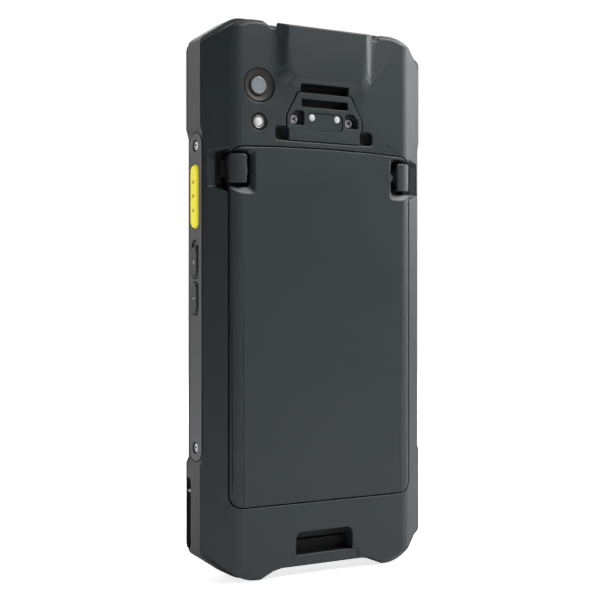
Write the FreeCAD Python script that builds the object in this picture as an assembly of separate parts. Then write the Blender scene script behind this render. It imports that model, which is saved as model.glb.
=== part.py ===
# Rugged portable data terminal with a removable rear battery pack.
# It stands upright on its lower end: X across, Y from the display (-Y) to the rear (+Y), Z up.
# The origin is under the centre of the model's box, on the surface that it stands on.
# Depths are counted inwards from the flat rear face. All sizes are in millimetres.
import FreeCAD, Part
import math
import os

V = FreeCAD.Vector

# Small roundings and rods are drawn with short flats, which keeps the triangles few
smallest_arc = 3.1
smallest_fine = 1.5
fine_step = math.radians(31)
coarse_step = math.radians(46)
rod_sides = 12

# Overall body
overall_height = 164.7
overall_width = 77.1
body_depth = 16.7
bump_proud = 1.95
wall = 1.6
seat_clearance = 0.1
seam_gap = 0.35
half_width = overall_width / 2
board_near = body_depth - 6.5
lower_board_near = body_depth - 8.1

# Cross-section: flat rear face, sloping side facets, upright side walls
flat_half_width = half_width - 9.15
facet_blend_radius = 7.0
rear_shell_depth = 5.8
mid_frame_end_depth = body_depth - 2.3
side_inset = 0.8
rear_edge_bevel = 1.2
front_edge_bevel = 1.1

# Corner bumpers
lower_bumper_top_z = 33.9
upper_bumper_bottom_z = overall_height - 32.4
bumper_ramp = 3.0
foot_inner_x = half_width - 17.25
foot_outer_x = half_width - 11.75
rear_top_drop = 1.0
foot_lift_front = 0.6
arch_half_width = half_width - 21.35
arch_height = 2.5
arch_shoulder = 3.0
arch_rise = 0.6
corner_low_z = 7.8
corner_high_drop = 7.1
rear_corner_shift = 1.6
front_corner_shift = 1.0
corner_round = 8.0
rear_corner_round = 12.5
waist_round = 2.4
top_flat_outer_x = half_width - 10.95
top_notch_x = half_width - 17.95
top_notch_drop = 1.1
top_notch_ramp = 0.8

# Scanner bump on the rear face
bump_base_half = half_width - 21.75
bump_top_half = half_width - 24.85
bump_low_z = overall_height - 19.5
bump_lower_slope = 3.0
bump_corner_radius = 3.6
bump_top_drop = 0.6

# Battery pack and its bay
battery_half_width = half_width - 7.2
battery_low_z = 21.7
battery_top_z = overall_height - 37.75
battery_crown = 0.9
battery_corner_radius = 3.8
battery_plate_depth = 2.6
cell_half_width = battery_half_width - 1.35
cell_low_z = 24.6
cell_top_z = battery_top_z - 4.05
bay_end_depth = body_depth - 4.2
cell_end_depth = bay_end_depth - 0.5
cell_edge_radius = 1.6
tab_x = 17.0
tab_half_width = 3.0
tab_length = 1.2
tab_start_depth = 1.5
tab_end_depth = 2.6

# Battery latches
latch_inner_x = battery_half_width - 5.05
latch_outer_x = battery_half_width + 0.15
latch_low_z = battery_top_z - 11.15
latch_high_z = battery_top_z - 2.75
latch_end_depth = 5.2
latch_edge_round = 0.7
latch_tooth_length = 1.5
latch_tooth_inset = 1.8
latch_tooth_start_depth = 3.6
latch_tooth_end_depth = 4.8
recess_inner_x = battery_half_width - 7.85
recess_outer_x = battery_half_width + 5.55
recess_low_z = battery_top_z - 14.25
recess_high_z = battery_top_z - 1.25
recess_pocket_inner_x = battery_half_width - 6.5
recess_pocket_outer_x = battery_half_width + 2.75
recess_pocket_low_z = battery_top_z - 12.25
recess_pocket_high_z = battery_top_z - 2.05
recess_pocket_depth = 5.2
recess_bevel_depth = 1.4
recess_shelf_depth = 4.9
recess_radius = 1.1
latch_spring_radius = 1.35
latch_spring_wire = 0.35
latch_spring_reach = 4.2
latch_stem_radius = 0.8
latch_stem_length = 2.6
latch_spring_depth = 4.0

# Rear contact plate for accessories
io_low_z = overall_height - 35.5
io_plate_thickness = 1.5
io_plate_seam = 0.3
io_top_half = 9.1
io_top_z = io_low_z + 14.35
io_kink_half = half_width - 25.45
io_kink_z = io_low_z + 7.2
io_low_half = half_width - 25.65
strap_slot_half = 8.15
strap_upper_top_z = io_low_z + 17.0
strap_bar_low_z = io_low_z + 12.55
strap_lower_low_z = io_low_z + 10.1
strap_tunnel_depth = 4.6
io_block_half = 6.35
io_block_low_z = io_low_z + 3.2
io_block_high_z = io_low_z + 8.6
io_block_radius = 1.6
io_block_depth = 3.4
io_block_sink = 0.25
io_pin_x = 4.4
io_pin_z = io_low_z + 7.1
io_pin_radius = 1.05
io_pin_sink = 0.05
io_pin_floor = 0.6
io_screw_x = 9.6
io_screw_z = io_low_z + 6.5
io_screw_head_radius = 1.4
io_screw_head_depth = 2.0
io_screw_head_height = 1.1
io_screw_shank_radius = 0.7
io_screw_length = 3.2
io_pocket_inner_x = 7.2
io_pocket_outer_x = 11.8
io_pocket_low_z = io_low_z + 4.6
io_pocket_high_z = io_low_z + 9.0
io_pocket_bevel = 1.7
notch_outer_x = half_width - 21.6
notch_low_z = io_low_z - 0.2
notch_high_z = io_low_z + 4.0
notch_depth = 2.4
notch_radius = 0.9

# Rear camera and flash
camera_x = half_width - 16.25
camera_z = overall_height - 20.2
camera_ring_radius = 4.92
camera_lens_radius = 2.67
camera_ring_depth = 1.9
camera_window_sink = 0.25
lens_proud = 0.1
camera_module_half = 3.6
camera_module_end_depth = board_near - 1.6
flash_z = camera_z - 10.6
flash_radius = 2.5
flash_window_radius = 1.45
flash_depth = 1.8
flash_sink = 0.1
flash_funnel_depth = 0.7
flash_rim = 0.35
flash_window_sink = 0.5
flash_led_half = 1.2

# Side strips, keys and their switches
strip_depth_near = rear_shell_depth + 0.3
strip_depth_far = body_depth - 2.8
strip_low_z = 34.8
strip_high_z = overall_height - 34.1
strip_thickness = 2.4
strip_proud = 0.25
strip_screw_high_z = strip_high_z - 3.7
strip_screw_low_z = 38.7
strip_screw_head_radius = 1.35
strip_screw_hole_radius = 1.75
strip_screw_depth = strip_depth_far - 3.5
strip_screw_sink = 0.9
strip_screw_length = 3.9
strip_screw_shank_radius = 0.65
key_clearance = 0.22
key_flange_margin = 0.7
key_flange_thickness = 0.7
key_flange_gap = 0.3
key_proud = 0.3
scan_key_low_z = strip_high_z - 27.8
scan_key_high_z = strip_high_z - 9.2
scan_key_near = strip_depth_far - 5.6
scan_key_far = strip_depth_far - 0.7
volume_near = strip_depth_far - 5.4
volume_far = strip_depth_far - 1.1
volume_up_low_z = strip_high_z - 42.4
volume_up_high_z = strip_high_z - 33.1
volume_down_low_z = strip_high_z - 53.0
volume_down_high_z = strip_high_z - 43.6
key_pocket_low_z = strip_high_z - 56.0
key_pocket_high_z = strip_high_z - 7.0
key_pocket_inner_x = half_width - 5.65
key_flex_thickness = 0.4
key_switch_height = 0.5
key_switch_half = 1.3
scallop_height = 2.0
pip_radius = 0.55
pip_spacing = 4.12

# Front: cover glass, display and their support
glass_half_width = half_width - 3.25
glass_low_z = 7.6
glass_high_z = overall_height - 6.3
glass_corner_cut = 7.5
glass_corner_radius = 3.0
glass_thickness = 1.1
glass_sink = 0.4
adhesive_thickness = 0.2
glass_ledge = 1.6
plate_thickness = 0.8
display_half_width = glass_half_width - 2.9
display_low_z = 13.4
display_high_z = glass_high_z - 8.2
plate_half_width = glass_half_width - 2.9
plate_low_z = 5.0
plate_window_xs = (-19.0, 0.0)
plate_window_half = 7.0
plate_window_rise = 4.0
plate_window_height = 10.0
front_camera_x = 17.5
front_camera_z = glass_high_z - 4.0
front_camera_radius = 2.0
sound_slot_half = 6.5
sound_slot_height = 1.1
earpiece_z = glass_high_z + 2.7
speaker_slot_z = 5.1
earpiece_half = 5.0
earpiece_rise = 1.5
mesh_thickness = 0.3
light_pipe_x = -14.0
light_pipe_radius = 0.6

# Cavities behind the rear wall
cavity_high_z = overall_height - 5.3
cavity_half_width = half_width - 8.15
cavity_inner_x = half_width - 19.95
cavity_low_z = cavity_high_z - 30.2
cavity_corner_cut = 9.5
scan_cavity_half = 12.6
scan_cavity_low_z = cavity_high_z - 10.4
lower_cavity_low_z = 5.4
lower_cavity_high_z = 18.4
lower_cavity_half = half_width - 9.55
lower_cavity_inner_x = lower_cavity_half - 16.4

# Strap pocket at the bottom of the rear face
strap_pocket_half = half_width - 28.7
strap_pocket_low_z = 6.0
strap_pocket_high_z = 12.9
strap_pocket_depth = 5.1
strap_pocket_radius = 2.0
strap_bar_z = 9.4
strap_bar_radius = 0.6
strap_bar_depth = 4.75
strap_bar_anchor = 1.5
strap_ledge_half = strap_pocket_half + 2.45
strap_ledge_slope = 1.3

# Lanyard slots low on both side walls
lanyard_low_z = 8.8
lanyard_high_z = 29.7
lanyard_near = body_depth - 4.2
lanyard_far = body_depth - 1.1
lanyard_floor_x = half_width - 2.25
lanyard_pin_z = 25.6
lanyard_pin_radius = 0.45

# Upper end: scan window and power key
window_half = 12.0
window_near = 0.9
window_far = 8.6
window_thickness = 1.2
gasket_width = 0.8
gasket_thickness = 0.7
engine_half = 10.6
engine_low_z = cavity_high_z - 9.2
engine_near = 1.0
engine_eye_depth = 5.0
engine_eye_sink = 1.5
engine_eyes = ((-6.0, 2.2), (1.5, 2.6))
power_x = -(half_width - 14.35)
power_half = 4.2
power_near = body_depth - 7.8
power_far = body_depth - 5.2
power_travel = 0.4
power_sink = 0.15
power_flange_z = cavity_high_z - 0.2
power_flange_thickness = 0.7

# Lower end: connector, cradle contacts, speaker and motor
usb_half = 4.6
usb_near = body_depth - 7.7
usb_far = body_depth - 4.5
usb_wall = 0.3
usb_length = 6.4
cradle_x = half_width - 26.35
cradle_half = 1.6
cradle_near = body_depth - 7.5
cradle_far = body_depth - 5.1
cradle_height = 3.2
speaker_x = -(half_width - 18.05)
speaker_half = 6.2
speaker_near = 2.2
speaker_far = lower_board_near - 0.4
motor_x = half_width - 18.05
motor_radius = 4.0
motor_near = 3.4
microphone_half = 1.4
microphone_height = 1.0
microphone_drop = 4.4
lower_microphone_x = -8.6
upper_microphone_shift = 2.7
upper_microphone_rise = 5.9

# Boards, battery contacts and fasteners
board_thickness = 0.9
board_half_width = half_width - 8.95
board_inset = 0.8
board_fit = 0.3
lower_board_margin = 0.6
lower_board_rise = 6.4
shield_height = 1.3
shield_wall = 0.3
shield_margin = 2.8
shield_end_drop = 7.4
shield_split_x = -2.0
shield_spacing = 3.0
shield_inset = 4.6
battery_contact_half = 6.0
battery_contact_near = lower_board_near - 1.4
battery_contact_far = lower_board_near + 1.4
battery_contact_rise = 2.6
battery_pad_thickness = 0.3
battery_pad_half = 1.0
blade_half = 0.5
blade_xs = (-4.0, -1.3, 1.3, 4.0)
body_screw_x = half_width - 5.05
body_screw_zs = (17.5, overall_height - 26.7)
body_screw_head_radius = 1.7
body_screw_head_height = 1.0
body_screw_shank_radius = 0.9
body_screw_tip_depth = 4.3

# Worked-out places
back_y = (body_depth + bump_proud) / 2 - bump_proud
side_x = half_width - side_inset
glass_far = body_depth - glass_sink
glass_near = glass_far - glass_thickness
ledge_far = glass_near - adhesive_thickness
plate_far = bay_end_depth + plate_thickness
strip_outer_x = side_x + strip_proud
strip_inner_x = strip_outer_x - strip_thickness
key_outer_x = half_width - key_proud / 2
flange_outer_x = strip_inner_x - key_flange_gap
top_rear_z = overall_height - top_notch_drop


def y_at(depth):
    """Y of a plane at a depth behind the flat rear face."""
    return back_y - depth


def block(x0, x1, near, far, z0, z1):
    """Box between two X, two depths and two heights."""
    return Part.makeBox(x1 - x0, far - near, z1 - z0, V(x0, y_at(far), z0))


def rod(start, along, across, radius):
    """Round bar from start; a thin one is a prism with its flats square to across."""
    if radius >= smallest_arc:
        return Part.makeCylinder(radius, along.Length, start, along)
    up = V(0, 0, 1)
    turns = [2 * math.pi * (k + 0.5) / rod_sides for k in range(rod_sides)]
    points = [start + (across * math.cos(t) + up * math.sin(t)) * radius for t in turns]
    return Part.Face(Part.makePolygon(points + points[:1])).extrude(along)


def rod_y(x, z, radius, near, far):
    return rod(V(x, y_at(far), z), V(0, far - near, 0), V(1, 0, 0), radius)


def rod_x(x0, x1, depth, z, radius):
    return rod(V(x0, y_at(depth), z), V(x1 - x0, 0, 0), V(0, 1, 0), radius)


def arc_points(centre, first, last, radius):
    """Points along the short arc from first to last: three for a true arc, more for flats."""
    turn = (first - centre).getAngle(last - centre)
    step = fine_step if radius >= smallest_fine else coarse_step
    steps = 2 if radius >= smallest_arc else max(1, math.ceil(turn / step))
    points = [first]
    for k in range(1, steps):
        mix = (first - centre) * math.sin(turn * (steps - k) / steps) \
            + (last - centre) * math.sin(turn * k / steps)
        points.append(centre + mix / math.sin(turn))
    return points + [last]


def rounded_wire(corners, place):
    """Closed wire through (a, b, radius) corners, each radius drawn as a tangent arc."""
    count = len(corners)
    starts, ends, edges = [], [], []
    for i in range(count):
        a, b, radius = corners[i]
        here = V(a, b, 0)
        before = V(corners[i - 1][0], corners[i - 1][1], 0) - here
        after = V(corners[(i + 1) % count][0], corners[(i + 1) % count][1], 0) - here
        before.normalize()
        after.normalize()
        half_turn = before.getAngle(after) / 2
        if radius <= 0 or abs(half_turn - math.pi / 2) < 1e-6:
            starts.append(here)
            ends.append(here)
            edges.append(None)
            continue
        reach = radius / math.tan(half_turn)
        inward = before + after
        inward.normalize()
        centre = here + inward * (radius / math.sin(half_turn))
        first = here + before * reach
        starts.append(first)
        ends.append(here + after * reach)
        edges.append(arc_points(centre, first, here + after * reach, radius))
    pieces = []
    for i in range(count):
        if edges[i] is not None:
            points = [place(p) for p in edges[i]]
            if corners[i][2] >= smallest_arc:
                pieces.append(Part.Arc(points[0], points[len(points) // 2], points[-1]).toShape())
            else:
                pieces += [Part.makeLine(a, b) for a, b in zip(points, points[1:])]
        following = starts[(i + 1) % count]
        if (following - ends[i]).Length > 1e-6:
            pieces.append(Part.makeLine(place(ends[i]), place(following)))
    return Part.Wire(pieces)


def plate_y(corners, near, far):
    """Prism of an (x, z, radius) outline between two depths."""
    wire = rounded_wire(corners, lambda p: V(p.x, y_at(far), p.y))
    return Part.Face(wire).extrude(V(0, far - near, 0))


def plate_x(corners, x0, x1):
    """Prism of a (depth, z, radius) outline between two X."""
    wire = rounded_wire(corners, lambda p: V(x0, y_at(p.x), p.y))
    return Part.Face(wire).extrude(V(x1 - x0, 0, 0))


def plate_z(corners, z0, z1):
    """Prism of an (x, depth, radius) outline between two heights."""
    wire = rounded_wire(corners, lambda p: V(p.x, y_at(p.y), z0))
    return Part.Face(wire).extrude(V(0, 0, z1 - z0))


def loft_y(outline_a, near, outline_b, far):
    """Ruled solid between two like outlines at two depths."""
    first = rounded_wire(outline_a, lambda p: V(p.x, y_at(near), p.y))
    second = rounded_wire(outline_b, lambda p: V(p.x, y_at(far), p.y))
    return Part.makeLoft([first, second], True, True)


def rectangle(a0, a1, b0, b1, radius=0.0):
    return [(a0, b0, radius), (a1, b0, radius), (a1, b1, radius), (a0, b1, radius)]


def mirrored(half_outline):
    """Full outline from the +X half, listed from the bottom centre to the top centre."""
    other = [(-x, z, r) for x, z, r in reversed(half_outline) if x > 0]
    return half_outline + other


def mirror_x(shape):
    return shape.mirror(V(0, 0, 0), V(1, 0, 0))


def grown(corners, amount, middle_z):
    """Outline moved outwards by an amount across and up or down."""
    result = []
    for x, z, radius in corners:
        dx = amount if x > 0 else -amount if x < 0 else 0
        dz = amount if z > middle_z else -amount
        result.append((x + dx, z + dz, radius))
    return result


def fused(shapes):
    whole = shapes[0]
    if len(shapes) > 1:
        whole = whole.fuse(shapes[1:])
    return whole.removeSplitter()


def compound(shapes):
    return shapes[0] if len(shapes) == 1 else Part.makeCompound(shapes)


def body_outline(lift, shift, drop, rounding=corner_round):
    """Outline of one layer of the housing, with its corner bumpers and waist."""
    top = overall_height - drop
    foot = lift
    waist_low = lower_bumper_top_z
    waist_high = upper_bumper_bottom_z
    return mirrored([
        (arch_half_width - arch_shoulder, arch_height, 0.0),
        (arch_half_width, arch_height - arch_rise, 0.0),
        (foot_inner_x, foot, 0.0),
        (foot_outer_x, foot, rounding),
        (half_width, corner_low_z + shift, waist_round),
        (half_width, waist_low, 0.0),
        (side_x, waist_low + bumper_ramp / 2, 0.0),
        (side_x, waist_high - bumper_ramp, 0.0),
        (half_width, waist_high, 0.0),
        (half_width, overall_height - corner_high_drop - shift, waist_round),
        (top_flat_outer_x, top, rounding),
        (top_notch_x, top, 0.0),
        (top_notch_x - top_notch_ramp, top_rear_z - drop, 0.0),
        (arch_half_width - arch_shoulder, top_rear_z - drop, 0.0),
    ])


def section_solid():
    """Bar of the housing's cross-section: flat rear face, blended facets, upright sides."""
    return plate_z([
        (-flat_half_width, 0.0, facet_blend_radius),
        (flat_half_width, 0.0, facet_blend_radius),
        (half_width, rear_shell_depth, 0.0),
        (half_width, body_depth, 0.0),
        (-half_width, body_depth, 0.0),
        (-half_width, rear_shell_depth, 0.0),
    ], 0, overall_height)


def bay_outline(gap):
    """Battery outline with its crowned upper edge, grown by a gap."""
    side = battery_half_width + gap
    low = battery_low_z - gap
    shoulder = battery_top_z - battery_crown + gap
    top = battery_top_z + gap
    radius = battery_corner_radius + gap
    return mirrored([
        (0.0, low, 0.0),
        (side, low, radius),
        (side, shoulder, radius),
        (side / 2, (3 * top + shoulder) / 4 + 0.05, 60.0),
        (0.0, top, 0.0),
    ])


def recess_tool():
    """Finger recess of the +X latch: bevelled rim, outboard shelf and deep pocket."""
    pocket = plate_y(rectangle(recess_pocket_inner_x, recess_pocket_outer_x,
                               recess_pocket_low_z, recess_pocket_high_z, recess_radius),
                     -1.0, recess_pocket_depth)
    slope = recess_bevel_depth
    rim = rectangle(recess_inner_x, recess_outer_x, recess_low_z, recess_high_z, recess_radius)
    inner = rectangle(recess_pocket_inner_x, recess_pocket_outer_x,
                      recess_pocket_low_z, recess_pocket_high_z, recess_radius)
    bevel = loft_y(rim, 0.0, inner, slope)
    cap = plate_y(rim, -1.0, 0.0)
    shelf = plate_x([
        (-1.0, recess_low_z - 1.0, 0.0),
        (recess_shelf_depth, recess_pocket_low_z, 0.6),
        (recess_shelf_depth, recess_pocket_high_z, 0.6),
        (-1.0, recess_high_z + 0.6, 0.0),
    ], battery_half_width, recess_outer_x)
    return fused([pocket, bevel, cap, shelf])


def both_sides(tool):
    return [tool, mirror_x(tool)]


def scanner_bump():
    """Raised housing over the scan engine, from the upper edge down to a sloped lip."""
    top = top_rear_z - bump_top_drop / 2
    base = [
        (-bump_base_half, bump_low_z, bump_corner_radius),
        (bump_base_half, bump_low_z, bump_corner_radius),
        (bump_base_half, top, 0.4),
        (-bump_base_half, top, 0.4),
    ]
    crest = [
        (-bump_top_half, bump_low_z + bump_lower_slope, bump_corner_radius * 0.7),
        (bump_top_half, bump_low_z + bump_lower_slope, bump_corner_radius * 0.7),
        (bump_top_half, top - bump_top_drop, 0.4),
        (-bump_top_half, top - bump_top_drop, 0.4),
    ]
    return loft_y(crest, -bump_proud, base, 0.0)


def io_outline(gap):
    return mirrored([
        (0.0, io_low_z - gap, 0.0),
        (io_low_half + gap, io_low_z - gap, 0.4),
        (io_kink_half + gap, io_kink_z, 2.0),
        (io_top_half + gap, io_top_z + gap, 0.8),
        (0.0, io_top_z + gap, 0.0),
    ])


def notch_tool():
    return plate_y(rectangle(io_low_half - 0.5, notch_outer_x, notch_low_z, notch_high_z,
                             notch_radius), -1.0, notch_depth)


def window_outline(inset):
    return rectangle(-window_half + inset, window_half - inset, window_near + inset,
                     window_far - inset, 0.8)


def cavity_outline(half, low, high, cut):
    return mirrored([
        (0.0, low, 0.0), (half, low, 0.0), (half, high - cut, 0.0),
        (half - cut, high, 0.0), (0.0, high, 0.0)])


def upper_cavity_side():
    """Cavity beside the scan engine, which holds the camera on the +X side."""
    room = cavity_outline(cavity_half_width, cavity_low_z, cavity_high_z, cavity_corner_cut)
    whole = plate_y(room, wall, rear_shell_depth + 1.0)
    keep = block(-cavity_half_width, cavity_inner_x, 0.0, rear_shell_depth + 2.0,
                 cavity_low_z - 1.0, overall_height)
    return whole.cut(keep)


def rear_housing():
    outline = body_outline(0.0, rear_corner_shift, rear_top_drop,
                           rear_corner_round)
    bevelled = grown(outline, -rear_edge_bevel, overall_height / 2)
    layers = fused([plate_y(outline, rear_edge_bevel, rear_shell_depth),
                    loft_y(bevelled, 0.0, outline, rear_edge_bevel)])
    shell = fused([layers.common(section_solid()), scanner_bump()])
    cuts = [plate_y(bay_outline(seam_gap), -1.0, rear_shell_depth + 1.0), connector_room()]
    cuts += both_sides(recess_tool())
    cuts += both_sides(upper_cavity_side())
    cuts += both_sides(notch_tool())
    cuts.append(block(-scan_cavity_half, scan_cavity_half, engine_near - 0.4,
                      rear_shell_depth + 1.0, scan_cavity_low_z, cavity_high_z))
    for side in (-1, 1):
        x0, x1 = sorted((side * lower_cavity_inner_x, side * lower_cavity_half))
        cuts.append(block(x0, x1, wall, rear_shell_depth + 1.0, lower_cavity_low_z,
                          lower_cavity_high_z))
        tab0 = side * tab_x - tab_half_width - 0.4
        cuts.append(block(tab0, tab0 + 2 * tab_half_width + 0.8, tab_start_depth - 0.3,
                          tab_end_depth + 1.3, battery_low_z - tab_length - 0.4,
                          battery_low_z))
        cuts.append(rod_y(side * io_screw_x, io_screw_z, io_screw_shank_radius + 0.05,
                          0.0, io_screw_head_depth + io_screw_length + 0.3))
        for z in body_screw_zs:
            cuts.append(rod_y(side * body_screw_x, z, body_screw_shank_radius + 0.05,
                              body_screw_tip_depth - 0.2, rear_shell_depth + 1.0))
    cuts.append(plate_y(io_outline(io_plate_seam), -1.0, io_plate_thickness))
    cuts.append(plate_y(rectangle(-io_block_half, io_block_half, io_block_low_z,
                                  io_block_high_z, io_block_radius), 0.0, io_block_depth))
    cuts += [rod_y(x, io_screw_z, io_screw_head_radius + 0.3, 0.0,
                   io_screw_head_depth + io_screw_head_height)
             for x in (-io_screw_x, io_screw_x)]
    cuts.append(block(-strap_slot_half - 0.2, strap_slot_half + 0.2, -1.0, strap_tunnel_depth,
                      strap_lower_low_z - 0.2, strap_upper_top_z))
    cuts.append(rod_y(camera_x, camera_z, camera_ring_radius + 0.15, -1.0, camera_ring_depth))
    cuts.append(rod_y(camera_x, flash_z, flash_radius + 0.1, -1.0, flash_depth))
    cuts.append(plate_y([
        (-strap_pocket_half, strap_pocket_low_z, 0.5),
        (strap_pocket_half, strap_pocket_low_z, 0.5),
        (strap_pocket_half, strap_pocket_high_z, strap_pocket_radius),
        (-strap_pocket_half, strap_pocket_high_z, strap_pocket_radius),
    ], -1.0, strap_pocket_depth))
    cuts.append(rod_x(-strap_pocket_half - strap_bar_anchor,
                      strap_pocket_half + strap_bar_anchor, strap_bar_depth, strap_bar_z,
                      strap_bar_radius))
    cuts.append(plate_x([
        (-1.0, strap_pocket_low_z, 0.0),
        (0.35, strap_pocket_low_z, 0.0),
        (strap_ledge_slope, arch_height - 1.0, 0.0),
        (-1.0, arch_height - 1.0, 0.0),
    ], -strap_ledge_half, strap_ledge_half))
    cuts.append(plate_z(window_outline(0.0), cavity_high_z + window_thickness,
                        overall_height + 1.0))
    cuts.append(plate_z(window_outline(gasket_width), cavity_high_z - 1.0,
                        overall_height + 1.0))
    return shell.cut(cuts).removeSplitter()


def key_keys(side):
    """Lower z, upper z, near depth and far depth of the keys on one side."""
    scan = (scan_key_low_z, scan_key_high_z, scan_key_near, scan_key_far)
    if side > 0:
        return [scan,
                (volume_up_low_z, volume_up_high_z, volume_near, volume_far),
                (volume_down_low_z, volume_down_high_z, volume_near, volume_far)]
    return [scan, (volume_down_low_z, volume_up_high_z, volume_near, volume_far)]


def connector_room():
    """Opening from the lower cavity into the bay for the battery connector."""
    return block(-battery_contact_half, battery_contact_half, battery_contact_near,
                 battery_contact_far, lower_cavity_high_z - 0.1, battery_low_z + 0.1)


def mid_frame():
    outline = body_outline(0.0, 0.0, 0.0)
    shell = plate_y(outline, rear_shell_depth, mid_frame_end_depth).common(section_solid())
    cuts = [plate_y(bay_outline(seam_gap), 0.0, body_depth), earpiece_room()]
    cuts.append(plate_y(plate_corners(seat_clearance), bay_end_depth, body_depth))
    cuts.append(plate_y(cavity_outline(cavity_half_width, cavity_low_z, cavity_high_z,
                                       cavity_corner_cut), 0.0, bay_end_depth + 1.0))
    cuts.append(block(-lower_cavity_half, lower_cavity_half, 0.0, bay_end_depth + 1.0,
                      lower_cavity_low_z, lower_cavity_high_z))
    cuts.append(plate_z(window_outline(0.0), cavity_high_z + window_thickness,
                        overall_height + 1.0))
    cuts.append(plate_z(window_outline(gasket_width), cavity_high_z - 1.0,
                        overall_height + 1.0))
    recess = plate_x(rectangle(strip_depth_near - seat_clearance,
                               strip_depth_far + seat_clearance,
                               strip_low_z - seat_clearance, strip_high_z + seat_clearance,
                               (strip_depth_far - strip_depth_near) / 2),
                     strip_inner_x, half_width + 1.0)
    pocket = plate_x(rectangle(scan_key_near - key_flange_margin - 0.4,
                               scan_key_far + key_flange_margin - 0.1,
                               key_pocket_low_z, key_pocket_high_z, 1.2),
                     key_pocket_inner_x, strip_inner_x + 0.1)
    slot = plate_x(rectangle(lanyard_near, lanyard_far, lanyard_low_z, lanyard_high_z, 1.2),
                   lanyard_floor_x, half_width + 1.0)
    for tool in (recess, pocket, slot):
        cuts += both_sides(tool)
    for side in (-1, 1):
        x = side * (lanyard_floor_x + half_width) / 2
        cuts.append(rod_y(x, lanyard_pin_z, lanyard_pin_radius, lanyard_near - 0.6,
                          mid_frame_end_depth))
        for z in (strip_screw_low_z, strip_screw_high_z):
            tip = strip_outer_x - strip_screw_sink - strip_screw_length
            x0, x1 = sorted((side * tip, side * strip_inner_x))
            cuts.append(rod_x(x0, x1, strip_screw_depth, z, strip_screw_shank_radius))
        for z in body_screw_zs:
            head_near = bay_end_depth - body_screw_head_height
            cuts.append(rod_y(side * body_screw_x, z, body_screw_head_radius + 0.1,
                              head_near, mid_frame_end_depth + 1.0))
            cuts.append(rod_y(side * body_screw_x, z, body_screw_shank_radius + 0.05,
                              0.0, bay_end_depth))
        x0, x1 = side * cradle_x - cradle_half, side * cradle_x + cradle_half
        cuts.append(block(x0, x1, cradle_near, cradle_far, 0.0, lower_cavity_low_z + 0.1))
    cuts.append(plate_z(rectangle(-usb_half, usb_half, usb_near, usb_far,
                                  (usb_far - usb_near) / 2 - 0.1),
                        0.0, lower_cavity_low_z + 0.1))
    cuts.append(connector_room())
    cuts.append(plate_z(rectangle(power_x - power_half - key_clearance,
                                  power_x + power_half + key_clearance,
                                  power_near - key_clearance, power_far + key_clearance,
                                  (power_far - power_near) / 2),
                        cavity_high_z - cavity_corner_cut, overall_height + 1.0))
    flange = key_flange_margin + key_clearance
    cuts.append(block(power_x - power_half - flange, power_x + power_half + flange,
                      power_near - flange, power_far + flange,
                      power_flange_z - 3.4, power_flange_z + power_flange_thickness + 0.25))
    return shell.cut(cuts).removeSplitter()


def plate_corners(gap):
    """Outline of the support plate under the display."""
    return mirrored([
        (0.0, plate_low_z - gap, 0.0),
        (plate_half_width - glass_corner_cut, plate_low_z - gap, 0.0),
        (plate_half_width + gap, plate_low_z + glass_corner_cut, 0.0),
        (plate_half_width + gap, glass_high_z - glass_corner_cut, 0.0),
        (plate_half_width - glass_corner_cut, glass_high_z + gap, 0.0),
        (0.0, glass_high_z + gap, 0.0),
    ])


def glass_outline(gap):
    cut = glass_corner_cut
    return mirrored([
        (0.0, glass_low_z - gap, 0.0),
        (glass_half_width - cut + gap, glass_low_z - gap, glass_corner_radius),
        (glass_half_width + gap, glass_low_z + 0.7 * cut, glass_corner_radius),
        (glass_half_width + gap, glass_high_z - 0.7 * cut, glass_corner_radius),
        (glass_half_width - cut + gap, glass_high_z + gap, glass_corner_radius),
        (0.0, glass_high_z + gap, 0.0),
    ])


def front_bezel():
    outline = body_outline(foot_lift_front, front_corner_shift, foot_lift_front)
    face = grown(outline, -front_edge_bevel, overall_height / 2)
    bevel_start = body_depth - front_edge_bevel
    shell = fused([plate_y(outline, mid_frame_end_depth, bevel_start),
                   loft_y(outline, bevel_start, face, body_depth)])
    slot = plate_x(rectangle(lanyard_near, lanyard_far, lanyard_low_z, lanyard_high_z, 1.2),
                   lanyard_floor_x, half_width + 1.0)
    cuts = [plate_y(glass_outline(seat_clearance), ledge_far, body_depth + 1.0),
            plate_y(glass_outline(-glass_ledge), 0.0, body_depth)]
    cuts += both_sides(slot)
    for side in (-1, 1):
        x = side * (lanyard_floor_x + half_width) / 2
        cuts.append(rod_y(x, lanyard_pin_z, lanyard_pin_radius, mid_frame_end_depth,
                          lanyard_far + 0.6))
    for z in (earpiece_z, speaker_slot_z):
        cuts.append(sound_slot(z, 0.0, mid_frame_end_depth, body_depth + 1.0))
    cuts.append(earpiece_room())
    cuts.append(rod_y(light_pipe_x, earpiece_z, light_pipe_radius, mid_frame_end_depth,
                      body_depth + 1.0))
    return shell.cut(cuts).removeSplitter()


def sound_slot(z, margin, near, far):
    half = sound_slot_half + margin
    rise = sound_slot_height / 2 + margin
    return plate_y(rectangle(-half, half, z - rise, z + rise, rise * 0.95), near, far)


def cover_glass():
    return plate_y(glass_outline(0.0), glass_near, glass_far)


def display_adhesive():
    ring = plate_y(glass_outline(0.0), ledge_far, glass_near)
    return ring.cut(plate_y(glass_outline(-glass_ledge), ledge_far - 1.0, glass_near + 1.0))


def display_panel():
    return plate_y(rectangle(-display_half_width, display_half_width,
                             display_low_z, display_high_z, 1.5), plate_far, glass_near)


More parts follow.
